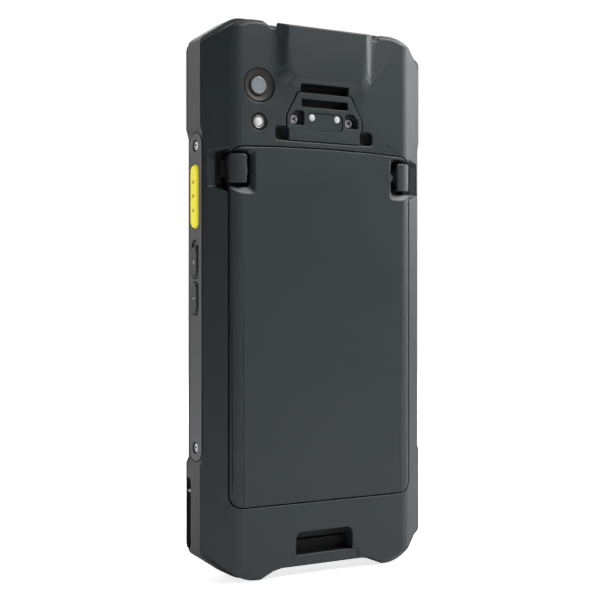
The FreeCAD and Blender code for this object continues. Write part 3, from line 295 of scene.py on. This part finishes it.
def make_finishes():
    scene = bpy.context.scene
    colours, sizes = scene.terminal_colours, scene.terminal_sizes
    charcoal, black = tuple(colours.charcoal), tuple(colours.black)
    # Glass-filled polycarbonate with a fine spark-eroded grain, which gives a matte sheen
    moulded("charcoal_polycarbonate", charcoal, 0.35, 0.5, 0.05)
    moulded("battery_polycarbonate", shaded(charcoal, 0.98), 0.35, 0.5, 0.05)
    # Frame moulding in a greyer and slightly smoother grade
    moulded("rim_polycarbonate", tuple(colours.rim), 0.4, 0.45, 0.04)
    # Satin painted strip, almost no grain
    moulded("satin_side_strip", tuple(colours.strip), 0.6, 0.38, 0.012, 0.06)
    # Soft-touch key cap in a full yellow
    moulded("yellow_key_plastic_with_painted_glow", tuple(colours.yellow), 0.5, 0.5, 0.012, 0.04)
    # The yellow key glows a little of its own: painted light, which makes it brighter than
    # the lamps alone do
    shader = FINISHES["yellow_key_plastic_with_painted_glow"].node_tree.nodes["Principled BSDF"]
    shader.inputs["Emission Color"].default_value = tuple(colours.yellow)
    shader.inputs["Emission Strength"].default_value = 0.3
    moulded("amber_key_dots", tuple(colours.orange), 0.5, 0.5, 0.012, 0.04)
    moulded("black_key_plastic", black, 0.4, 0.42, 0.02)
    moulded("latch_polycarbonate", shaded(charcoal, 1.02), 0.35, 0.48, 0.04)
    moulded("black_insulator_resin", linear("#141516"), 0.5, 0.38, 0.015)
    # Black moulding for the dark inner parts, also used as black painted shade in pockets,
    # sockets and seams
    moulded("black_moulding_and_painted_shade", linear("#08090a"), 0.4, 0.65, 0.04)
    moulded("white_mark_ink", linear("#c9cbcc"), 0.3, 0.55, 0.01, 0.02)
    moulded("black_adhesive_foam", linear("#101011"), 0.3, 0.8, 0.06)
    moulded("silicone_gasket", linear("#17181a"), 0.3, 0.6, 0.02)
    moulded("cell_wrap_film", linear("#23262a"), 0.8, 0.35, 0.02)
    metal("machined_steel", tuple(colours.steel), 0.4, bare=0.3)
    metal("camera_trim_alloy", tuple(colours.ring), 0.55, 0.3, bare=0.6)
    metal("bright_nickel_plate", linear("#f6f7f8"), 0.34, bare=0.35)
    metal("pressed_alloy", linear("#9fa3a6"), 0.4)
    metal("contact_gold_plate", tuple(colours.gold), 0.28)
    metal("reflector_chrome", linear("#c9c8c6"), 0.3, bare=0.8)
    # The camera window's light grey colour is painted reflection: it stands in for the light
    # the glass reflects
    gloss("camera_window_glass", linear("#8b949a"), linear("#a2abb1"), 0.14)
    gloss("flash_lens_resin", linear("#f4f2ea"), linear("#ffffff"), 0.25)
    gloss("scan_window_resin", linear("#170a0c"), linear("#220e10"), 0.08)
    gloss("black_polished_resin", linear("#060607"), linear("#0c0d0e"), 0.1)
    make_display_glass(colours)
    make_board()
    make_mesh_cloth(sizes.mesh_pitch)


# Modelling helpers


def deselect():
    if bpy.context.object and bpy.context.object.mode != "OBJECT":
        bpy.ops.object.mode_set(mode="OBJECT")
    bpy.ops.object.select_all(action="DESELECT")


def activate(piece):
    deselect()
    piece.select_set(True)
    bpy.context.view_layer.objects.active = piece


def edit(piece, kind="FACE"):
    activate(piece)
    bpy.ops.object.mode_set(mode="EDIT")
    bpy.ops.mesh.select_mode(type=kind)
    bpy.ops.mesh.select_all(action="SELECT")


def leave():
    bpy.ops.object.mode_set(mode="OBJECT")


def pick_faces(piece, test):
    """Selects the faces whose centre and normal pass a test, and stays in edit mode."""
    leave()
    for kind in (piece.data.vertices, piece.data.edges, piece.data.polygons):
        kind.foreach_set("select", [False] * len(kind))
    for face in piece.data.polygons:
        face.select = test(face.center, face.normal)
    bpy.ops.object.mode_set(mode="EDIT")


def rounded(piece, width, segments=2, angle=34.0):
    """Rounds every edge sharper than an angle, then evens the shading of the flats."""
    activate(piece)
    if width > 0:
        data = piece.data
        before = BVHTree.FromPolygons([v.co.copy() for v in data.vertices],
                                      [tuple(f.vertices) for f in data.polygons])
        bevel = piece.modifiers.new("rounding", "BEVEL")
        bevel.width = width
        bevel.segments = segments
        bevel.limit_method = "ANGLE"
        bevel.angle_limit = math.radians(angle)
        bevel.use_clamp_overlap = False
        bpy.ops.object.modifier_apply(modifier=bevel.name)
        # Slivers can throw a bevel's corner far out, so such a point goes back to the skin
        for vertex in piece.data.vertices:
            near, normal, index, apart = before.find_nearest(vertex.co)
            if apart > 0.5 * width:
                vertex.co = near
    bpy.ops.object.shade_smooth_by_angle(angle=math.radians(38.0))
    even = piece.modifiers.new("even_normals", "WEIGHTED_NORMAL")
    even.keep_sharp = True
    even.weight = 100
    bpy.ops.object.modifier_apply(modifier=even.name)


def settle(piece, finish):
    """Puts the piece's place into its mesh and gives it its finish."""
    activate(piece)
    bpy.ops.object.transform_apply(location=True, rotation=True, scale=True)
    piece.data.materials.clear()
    piece.data.materials.append(FINISHES[finish])


def soften(node, body, finish, width, segments=2, angle=34.0, even_flats=False):
    """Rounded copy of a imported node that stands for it.

    With even_flats, the long thin faces of its flats are turned first, since the rounding
    would fold them over.
    """
    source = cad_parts[node]
    piece = source.copy()
    piece.data = source.data.copy()
    piece.name = node + "_moulded"
    bpy.context.collection.objects.link(piece)
    edit(piece, "VERT")
    bpy.ops.mesh.remove_doubles(threshold=WELD)
    if even_flats:
        bpy.ops.mesh.beautify_fill(angle_limit=math.radians(1.0))
    leave()
    rounded(piece, width, segments, angle)
    piece.data.materials.clear()
    piece.data.materials.append(FINISHES[finish])
    return ridden(piece, body, node)


def latch_rooms():
    """Low and high corners of the recess round each latch."""
    boxes = [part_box(name) for name in ("latch_right", "latch_left")]
    return [(low - LATCH_ROOM * MM, high + LATCH_ROOM * MM) for low, high in boxes]


def paint_shade_in_hollows(piece, finish, reach=18.0, sink=1.0):
    """Painted shade: a black second finish on the walls and floors of pockets, which face
    another wall close by.
    """
    data = piece.data
    rooms = latch_rooms()
    skin = BVHTree.FromPolygons([v.co.copy() for v in data.vertices],
                                [tuple(f.vertices) for f in data.polygons])
    outer = max(v.co.y for v in data.vertices)
    data.materials.append(FINISHES[finish])
    for face in data.polygons:
        start = face.center + face.normal * 0.02 * MM
        hit = skin.ray_cast(start, face.normal, reach * MM)[0]
        across = abs(face.center.x) / MM
        slope = max(0.0, across - FACET_START) * FACET_SLOPE
        depth = (REAR_Y - face.center.y) / MM - slope
        floor = face.normal.y > 0.95
        if depth > sink and across < SIDE_WALL_X and (hit or floor):
            face.material_index = 1
        # A latch recess is shallower: its steep walls get painted shade from the skin down
        wall = abs(face.normal.y) < 0.5
        for low, high in rooms:
            inside = all(low[k] <= face.center[k] <= high[k] for k in (0, 2))
            if inside and depth > (0.1 if wall else 0.9):
                face.material_index = 1


def paint(node, finish):
    """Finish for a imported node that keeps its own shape."""
    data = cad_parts[node].data
    data.materials.clear()
    data.materials.append(FINISHES[finish])


TURNS = {"rear": Matrix.Rotation(math.radians(-90), 4, "X"),
         "front": Matrix.Rotation(math.radians(90), 4, "X"),
         "right": Matrix.Rotation(math.radians(90), 4, "Y"),
         "left": Matrix.Rotation(math.radians(-90), 4, "Y")}


def turned(name, centre, rings, finish, facing="rear", sides=64, shape=None):
    """Round part drawn out from a disc: one extrusion to each further (radius, height)."""
    deselect()
    radius, height = rings[0]
    bpy.ops.mesh.primitive_circle_add(vertices=sides, radius=radius * MM, fill_type="NGON",
                                      location=(0, 0, 0))
    piece = bpy.context.object
    piece.name = name
    edit(piece)
    bpy.ops.transform.translate(value=(0, 0, height * MM))
    for (old, low), (radius, height) in zip(rings, rings[1:]):
        bpy.ops.mesh.extrude_region_move()
        size = radius / old
        bpy.ops.transform.resize(value=(size, size, 1.0), center_override=(0, 0, 0))
        bpy.ops.transform.translate(value=(0, 0, (height - low) * MM))
    bpy.ops.mesh.select_all(action="SELECT")
    bpy.ops.mesh.normals_make_consistent(inside=False)
    leave()
    if shape:
        for vertex in piece.data.vertices:
            vertex.co = shape(vertex.co)
    piece.matrix_world = Matrix.Translation(centre) @ TURNS[facing]
    settle(piece, finish)
    bpy.ops.object.shade_smooth_by_angle(angle=math.radians(30.0))
    return piece


def ridden(piece, body, *nodes):
    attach(piece, body)
    if nodes:
        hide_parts(*nodes)
    return piece


def joined(name, pieces):
    """One object from several like parts."""
    deselect()
    for piece in pieces:
        piece.select_set(True)
    bpy.context.view_layer.objects.active = pieces[0]
    if len(pieces) > 1:
        bpy.ops.object.join()
    pieces[0].name = name
    return pieces[0]


def lobed_screw(centre, radius, depth, facing):
    """Domed screw head with a three-lobed socket, whose walls and floor carry black painted
    shade.
    """
    reach = 0.62 * radius

    def lobes(point):
        flat = point.xy.length / MM
        if flat > reach * 1.02 or flat < 1e-6:
            return point
        wave = 0.42 + 0.58 * max(0.0, math.cos(3 * math.atan2(point.y, point.x))) ** 0.7
        return Vector((point.x * wave, point.y * wave, point.z))

    screw = turned("screw", centre, [
        (radius * 0.98, -0.9), (radius, -0.25), (radius * 0.93, -0.08), (radius * 0.8, 0.0),
        (reach, 0.02), (reach * 0.96, -depth), (reach * 0.9, -depth - 0.02)],
        "machined_steel", facing, 48, lobes)
    screw.data.materials.append(FINISHES["black_moulding_and_painted_shade"])
    axis = TURNS[facing].to_3x3() @ Vector((0, 0, 1))
    for face in screw.data.polygons:
        down = (face.center - Vector(centre)).dot(axis) / MM
        away = (face.center - Vector(centre)).cross(axis).length / MM
        # Faces down inside the socket get the black painted shade
        if away < reach and down < -0.05:
            face.material_index = 1
    return screw


def bar_mark(centre, width, height, thickness):
    """Small raised bar with chamfered upper edges, on the right side's keys."""
    deselect()
    bpy.ops.mesh.primitive_cube_add(size=1.0, location=centre,
                                    scale=(thickness, width, height))
    piece = bpy.context.object
    bpy.ops.object.transform_apply(location=True, rotation=True, scale=True)
    edit(piece)
    pick_faces(piece, lambda c, n: n.x > 0.9)
    bpy.ops.transform.resize(value=(1, 0.8, 0.8))
    leave()
    settle(piece, "white_mark_ink")
    return piece


# Operators


class SceneOperator:
    """What every step has in common"""
    bl_options = {"REGISTER"}


class TERMINAL_OT_housing(SceneOperator, bpy.types.Operator):
    """Softens the rear housing, mid frame and front bezel"""
    bl_idname = "terminal.housing"
    bl_label = "Dress housing"

    def execute(self, context):
        edge = context.scene.terminal_sizes.housing_edge
        rear = soften("rear_housing", "terminal", "charcoal_polycarbonate", edge,
                      even_flats=True)
        # Black painted shade in the rear housing's pockets
        paint_shade_in_hollows(rear, "black_moulding_and_painted_shade")
        soften("mid_frame", "terminal", "rim_polycarbonate", edge * 0.7)
        soften("front_bezel", "terminal", "rim_polycarbonate", edge)
        return {"FINISHED"}


class TERMINAL_OT_battery(SceneOperator, bpy.types.Operator):
    """Softens the battery pack's skin, cells and latches"""
    bl_idname = "terminal.battery"
    bl_label = "Dress battery"

    def execute(self, context):
        edge = context.scene.terminal_sizes.battery_edge
        cover = soften("battery_cover", "battery", "battery_polycarbonate", edge)
        # Black painted shade in the battery cover's pockets
        paint_shade_in_hollows(cover, "black_moulding_and_painted_shade", 12.0, 1.2)
        soften("battery_cells", "battery", "cell_wrap_film", edge)
        for name in ("latch_right", "latch_left"):
            low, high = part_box(name)
            latch = soften(name, name, "latch_polycarbonate", edge)
            # The latch's outer strip and its deep faces get black painted shade, the shade of
            # its recess
            latch.data.materials.append(FINISHES["black_moulding_and_painted_shade"])
            outer = max(abs(low.x), abs(high.x)) - 1.4 * MM
            for face in latch.data.polygons:
                if abs(face.center.x) > outer or face.center.y < REAR_Y - 2.6 * MM:
                    face.material_index = 1
        return {"FINISHED"}


class TERMINAL_OT_sides(SceneOperator, bpy.types.Operator):
    """Softens the side strips and every key"""
    bl_idname = "terminal.sides"
    bl_label = "Dress sides"

    def execute(self, context):
        edge = context.scene.terminal_sizes.trim_edge
        soften("side_strip_right", "terminal", "satin_side_strip", edge)
        soften("side_strip_left", "terminal", "satin_side_strip", edge)
        for node, body, finish in (
                ("scan_button_right", "scan_key_right", "yellow_key_plastic_with_painted_glow"),
                ("scan_button_left", "scan_key_left", "yellow_key_plastic_with_painted_glow"),
                ("volume_up_button", "volume_up_key", "black_key_plastic"),
                ("volume_down_button", "volume_down_key", "black_key_plastic"),
                ("programmable_button", "programmable_key", "black_key_plastic"),
                ("power_button", "power_key", "black_key_plastic")):
            piece = soften(node, body, finish, edge)
            if node.startswith("scan_button"):
                piece.data.materials.append(FINISHES["amber_key_dots"])
                reach = max(abs(v.co.x) for v in piece.data.vertices) - 0.1 * MM
                for face in piece.data.polygons:
                    if abs(face.center.x) > reach:
                        face.material_index = 1
        return {"FINISHED"}


class TERMINAL_OT_small_parts(SceneOperator, bpy.types.Operator):
    """Models the camera, flash, contact plate and strap bar"""
    bl_idname = "terminal.small_parts"
    bl_label = "Dress small parts"

    def execute(self, context):
        edge = context.scene.terminal_sizes.trim_edge
        soften("io_plate", "terminal", "charcoal_polycarbonate", edge)
        soften("io_contact_block", "terminal", "charcoal_polycarbonate", edge * 0.6)
        self.model_pins()
        self.model_screws(context.scene.terminal_sizes)
        self.model_camera(context.scene.terminal_sizes)
        self.model_flash()
        self.model_marks(context.scene.terminal_sizes)
        low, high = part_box("strap_bar")
        middle, half = (low + high) / 2, (high.x - low.x) / 2 / MM
        radius = (high.z - low.z) / 2 / MM
        bar = turned("strap_bar_turned", middle,
                     [(radius, -half), (radius, half)], "black_moulding_and_painted_shade", "right", 32)
        ridden(bar, "terminal", "strap_bar")
        return {"FINISHED"}

    def model_pins(self):
        low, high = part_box("io_contact_pins")
        radius = (high.z - low.z) / 2
        floor = (low.y - high.y) / MM
        r = radius / MM
        pins = [turned("contact_pin", (x, high.y, (low.z + high.z) / 2), [
            (r, floor), (r, -0.25), (r * 0.9, -0.08), (r * 0.6, -0.01), (r * 0.1, 0.0)],
            "bright_nickel_plate", sides=40) for x in (low.x + radius, high.x - radius)]
        ridden(joined("io_plate_contacts", pins), "terminal", "io_contact_pins")

    def model_screws(self, sizes):
        depth = sizes.socket_depth / MM
        low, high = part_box("io_screws")
        radius = (high.z - low.z) / 2
        screws = [lobed_screw((x, high.y, (low.z + high.z) / 2), radius / MM, depth, "rear")
                  for x in (low.x + radius, high.x - radius)]
        ridden(joined("io_plate_screws", screws), "terminal", "io_screws")
        low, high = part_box("strip_screws")
        radius = (high.y - low.y) / 2
        rise = SCREW_RISE * MM
        screws = []
        for z in (low.z + radius, high.z - radius):
            for x, facing in ((high.x + rise, "right"), (low.x - rise, "left")):
                screws.append(lobed_screw((x, (low.y + high.y) / 2, z), radius / MM, depth,
                                          facing))
        ridden(joined("side_strip_screws", screws), "terminal", "strip_screws")

    def model_camera(self, sizes):
        low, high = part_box("camera_ring")
        r = (high.x - low.x) / 2 / MM
        face = Vector(((low.x + high.x) / 2, high.y, (low.z + high.z) / 2))
        lens_low, lens_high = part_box("camera_lens")
        inner = (lens_high.x - lens_low.x) / 2 / MM
        floor = (low.y - high.y) / MM
        ring = turned("camera_trim_ring", face, [
            (r, floor), (r, -0.2), (r - 0.06, -0.06), (r - 0.2, 0.0), (r - 0.42, 0.0),
            (r - 0.55, -0.08), (inner + 0.45, -0.5), (inner + 0.3, -0.48),
            (inner + 0.22, -0.1), (inner + 0.02, -0.1), (inner - 0.05, -0.4)],
            "camera_trim_alloy", sides=96)
        ring.data.materials.append(FINISHES["black_moulding_and_painted_shade"])
        # The ring's outer edge, next to the housing, and its groove get black painted shade,
        # the shade of the seam and the groove
        for poly in ring.data.polygons:
            away = (poly.center - face).xz.length / MM
            if away > r - 0.6 or abs(away - inner - 0.22) < 0.12:
                poly.material_index = 1
        ridden(ring, "terminal", "camera_ring")
        crown = sizes.lens_crown / MM
        rings = [(inner - 0.1, -1.2), (inner - 0.1, -0.12)]
        rings += [(inner * math.cos(t) - 0.1, crown * math.sin(t) - 0.12)
                  for t in [k * math.pi / 14 for k in range(1, 7)]]
        lens = turned("camera_window_dome", face, rings, "camera_window_glass", sides=96)
        ridden(lens, "terminal", "camera_lens")
        rim = turned("camera_inner_ring", face, [
            (inner - 0.5, -0.3), (inner - 0.5, 0.0), (inner - 0.62, 0.015),
            (inner - 0.75, -0.01), (inner - 0.76, -0.3)], "reflector_chrome", sides=96)
        ridden(rim, "terminal")

    def model_flash(self):
        low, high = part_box("flash_ring")
        r = (high.x - low.x) / 2 / MM
        face = Vector(((low.x + high.x) / 2, high.y, (low.z + high.z) / 2))
        floor = (low.y - high.y) / MM
        ring = turned("flash_bezel", face, [
            (r, floor), (r, -0.15), (r - 0.12, 0.0), (r - 0.4, 0.0), (r - 0.5, -0.12),
            (1.75, -0.55), (1.72, -1.0)], "black_insulator_resin", sides=80)
        ridden(ring, "terminal", "flash_ring")
        bowl = turned("flash_reflector", face, [
            (1.9, -1.1), (1.9, -0.42), (1.78, -0.3), (1.62, -0.34), (1.4, -0.75),
            (1.3, -0.95)], "reflector_chrome", sides=80)
        ridden(bowl, "terminal")
        rings = [(1.28, -1.1), (1.28, -0.5)]
        rings += [(1.28 * math.cos(t), 0.35 * math.sin(t) - 0.5)
                  for t in [k * math.pi / 14 for k in range(1, 7)]]
        lens = turned("flash_lens_dome", face, rings, "flash_lens_resin", sides=64)
        ridden(lens, "terminal", "flash_window")

    def model_marks(self, sizes):
        thick = sizes.mark_height
        for node, body, upright in (("volume_up_button", "volume_up_key", True),
                                    ("volume_down_button", "volume_down_key", False)):
            low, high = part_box(node)
            middle = Vector((high.x, (low.y + high.y) / 2, (low.z + high.z) / 2))
            bars = [bar_mark(middle, 1.5 * MM, 0.32 * MM, 2 * thick)]
            if upright:
                bars.append(bar_mark(middle, 0.32 * MM, 1.5 * MM, 2 * thick))
            ridden(joined(node + "_mark", bars), body)


class TERMINAL_OT_front(SceneOperator, bpy.types.Operator):
    """Finishes the cover glass, meshes and scan window"""
    bl_idname = "terminal.front"
    bl_label = "Dress front"

    def execute(self, context):
        soften("cover_glass", "terminal", "display_cover_glass", 0.2 * MM)
        soften("scan_window", "terminal", "scan_window_resin", 0.15 * MM)
        self.model_front_camera()
        for node, finish in (
                ("display_adhesive", "black_adhesive_foam"),
                ("display_panel", "black_polished_resin"),
                ("support_plate", "pressed_alloy"),
                ("earpiece_mesh", "woven_sound_mesh"),
                ("speaker_mesh", "woven_sound_mesh"),
                ("light_pipe", "flash_lens_resin"),
                ("window_gasket", "silicone_gasket")):
            paint(node, finish)
        return {"FINISHED"}


    def model_front_camera(self):
        low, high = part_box("front_camera")
        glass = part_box("cover_glass")[0]
        face = Vector(((low.x + high.x) / 2, glass.y, (low.z + high.z) / 2))
        eye = turned("front_camera_eye", face, [
            (1.75, -0.12), (1.75, 0.012), (1.5, 0.014), (1.42, -0.004), (0.7, -0.02),
            (0.3, -0.03)], "black_polished_resin", "front", 64)
        eye.data.materials.append(FINISHES["reflector_chrome"])
        for poly in eye.data.polygons:
            if (poly.center - face).xz.length > 1.44 * MM:
                poly.material_index = 1
        ridden(eye, "terminal")


class TERMINAL_OT_inside(SceneOperator, bpy.types.Operator):
    """Finishes the boards, contacts and other inner parts"""
    bl_idname = "terminal.inside"
    bl_label = "Dress inside"

    def execute(self, context):
        for node, finish in (
                ("main_board", "solder_masked_board"),
                ("lower_board", "solder_masked_board"),
                ("key_flex_right", "solder_masked_board"),
                ("key_flex_left", "solder_masked_board"),
                ("key_switches", "machined_steel"),
                ("board_shields", "pressed_alloy"),
                ("camera_module", "black_moulding_and_painted_shade"),
                ("flash_led", "flash_lens_resin"),
                ("front_camera", "black_polished_resin"),
                ("scan_engine", "black_moulding_and_painted_shade"),
                ("earpiece", "pressed_alloy"),
                ("battery_connector", "black_insulator_resin"),
                ("battery_contacts", "contact_gold_plate"),
                ("power_switch", "black_insulator_resin"),
                ("usb_connector", "pressed_alloy"),
                ("cradle_contacts", "contact_gold_plate"),
                ("loudspeaker", "black_moulding_and_painted_shade"),
                ("vibration_motor", "pressed_alloy"),
                ("microphones", "pressed_alloy"),
                ("lanyard_pins", "machined_steel"),
                ("body_screws", "machined_steel"),
                ("latch_spring_right", "machined_steel"),
                ("latch_spring_left", "machined_steel")):
            paint(node, finish)
        return {"FINISHED"}


class TERMINAL_OT_studio(SceneOperator, bpy.types.Operator):
    """Builds the white floor, soft lights and the camera"""
    bl_idname = "terminal.studio"
    bl_label = "Build studio"

    def execute(self, context):
        studio = context.scene.terminal_studio
        self.make_floor()
        self.make_world(context.scene)
        middle = Vector((0.0, 0.0, 0.082))
        for name, place, size, power in (
                ("overhead_softbox", (-0.31, 0.25, 0.59), (0.4, 0.3), studio.key_power),
                ("left_softbox", (0.55, -0.5, 0.25), (0.3, 0.6), studio.fill_power),
                ("far_strip", (-0.55, 0.02, 0.35), (0.12, 0.5), studio.rim_power),
                ("front_softbox", (-0.1, -0.7, 0.4), (0.6, 0.6), studio.fill_power)):
            self.make_light(name, Vector(place), size, power, middle)
        data = bpy.data.cameras.new("photo_camera")
        camera = bpy.data.objects.new("photo_camera", data)
        context.collection.objects.link(camera)
        turn, reach = studio.camera_turn, studio.camera_reach
        camera.location = (reach * math.sin(turn), reach * math.cos(turn) + 0.0074, 0.0838)
        camera.rotation_euler = (math.radians(90), 0, math.pi - turn)
        data.lens = studio.lens
        data.sensor_width = 36.0
        data.shift_x = -0.0418
        data.shift_y = -0.0111
        data.clip_start = 0.01
        context.scene.camera = camera
        context.scene.view_settings.view_transform = "Standard"
        return {"FINISHED"}

    def make_floor(self):
        deselect()
        bpy.ops.mesh.primitive_plane_add(size=6.0, location=(0, 0, -0.0002))
        floor = bpy.context.object
        floor.name = "studio_floor"
        tree, shader, where = new_finish("white_studio_board")
        paper = add_node(tree, "ShaderNodeTexNoise", {"Scale": 40.0}, Vector=where)
        tint = mixed(tree, paper.outputs["Fac"], linear("#ececec"), linear("#f2f2f2"))
        tree.links.new(tint, shader.inputs["Base Color"])
        shader.inputs["Roughness"].default_value = 0.9
        rays = add_node(tree, "ShaderNodeLightPath")
        away = add_node(tree, "ShaderNodeVectorMath", {"operation": "LENGTH"})
        tree.links.new(where, away.inputs[0])
        # The board glows less round the object, a painted shade round it, so that its contact
        # shadow shows
        painted_shade_round_object = add_node(tree, "ShaderNodeMapRange",
                        {"From Min": 0.12, "From Max": 0.45, "To Min": 0.78, "To Max": 1.0},
                        Value=away.outputs["Value"])
        seen = add_node(tree, "ShaderNodeMath", {"operation": "MULTIPLY"})
        tree.links.new(rays.outputs["Is Camera Ray"], seen.inputs[0])
        tree.links.new(painted_shade_round_object.outputs[0], seen.inputs[1])
        tree.links.new(seen.outputs[0], shader.inputs["Emission Strength"])
        shader.inputs["Emission Color"].default_value = (1, 1, 1, 1)
        floor.data.materials.append(FINISHES["white_studio_board"])

    def make_world(self, scene):
        world = bpy.data.worlds.new("studio_world")
        scene.world = world
        world.use_nodes = True
        tree = world.node_tree
        tree.nodes.clear()
        rays = add_node(tree, "ShaderNodeLightPath")
        seen = add_node(tree, "ShaderNodeMath", {"operation": "MAXIMUM"})
        tree.links.new(rays.outputs["Is Camera Ray"], seen.inputs[0])
        tree.links.new(rays.outputs["Is Transmission Ray"], seen.inputs[1])
        plain = add_node(tree, "ShaderNodeBackground",
                         {"Color": (0.9, 0.95, 1.0, 1.0), "Strength": 0.1})
        white = add_node(tree, "ShaderNodeBackground",
                         {"Color": (1, 1, 1, 1), "Strength": 1.0})
        both = add_node(tree, "ShaderNodeMixShader")
        tree.links.new(seen.outputs[0], both.inputs[0])
        tree.links.new(plain.outputs[0], both.inputs[1])
        tree.links.new(white.outputs[0], both.inputs[2])
        add_node(tree, "ShaderNodeOutputWorld", Surface=both.outputs[0])

    def make_light(self, name, place, size, power, aim):
        data = bpy.data.lights.new(name, "AREA")
        data.shape = "RECTANGLE"
        data.size, data.size_y = size
        data.energy = power
        lamp = bpy.data.objects.new(name, data)
        bpy.context.collection.objects.link(lamp)
        lamp.location = place
        lamp.rotation_euler = (aim - place).to_track_quat("-Z", "Y").to_euler()


class TERMINAL_PT_panel(bpy.types.Panel):
    """Sidebar panel with the terminal's steps"""
    bl_idname = "TERMINAL_PT_panel"
    bl_label = "Data terminal"
    bl_space_type = "VIEW_3D"
    bl_region_type = "UI"
    bl_category = "Terminal"

    def draw(self, context):
        for step in STEPS:
            self.layout.operator(step.bl_idname)
        for group in ("terminal_sizes", "terminal_colours", "terminal_studio"):
            settings = getattr(context.scene, group)
            box = self.layout.box()
            for name in settings.__annotations__:
                box.prop(settings, name)


STEPS = (TERMINAL_OT_housing, TERMINAL_OT_battery, TERMINAL_OT_sides,
         TERMINAL_OT_small_parts, TERMINAL_OT_front, TERMINAL_OT_inside,
         TERMINAL_OT_studio)
GROUPS = (TerminalSizes, TerminalColours, TerminalStudio)


def register():
    for item in GROUPS + STEPS + (TERMINAL_PT_panel,):
        bpy.utils.register_class(item)
    scene = bpy.types.Scene
    scene.terminal_sizes = bpy.props.PointerProperty(type=TerminalSizes)
    scene.terminal_colours = bpy.props.PointerProperty(type=TerminalColours)
    scene.terminal_studio = bpy.props.PointerProperty(type=TerminalStudio)


def unregister():
    scene = bpy.types.Scene
    for name in ("terminal_sizes", "terminal_colours", "terminal_studio"):
        delattr(scene, name)
    for item in reversed(GROUPS + STEPS + (TERMINAL_PT_panel,)):
        bpy.utils.unregister_class(item)


def main():
    register()
    make_finishes()
    for step in STEPS:
        group, name = step.bl_idname.split(".")
        getattr(getattr(bpy.ops, group), name)()


if __name__ == "__main__":
    main()
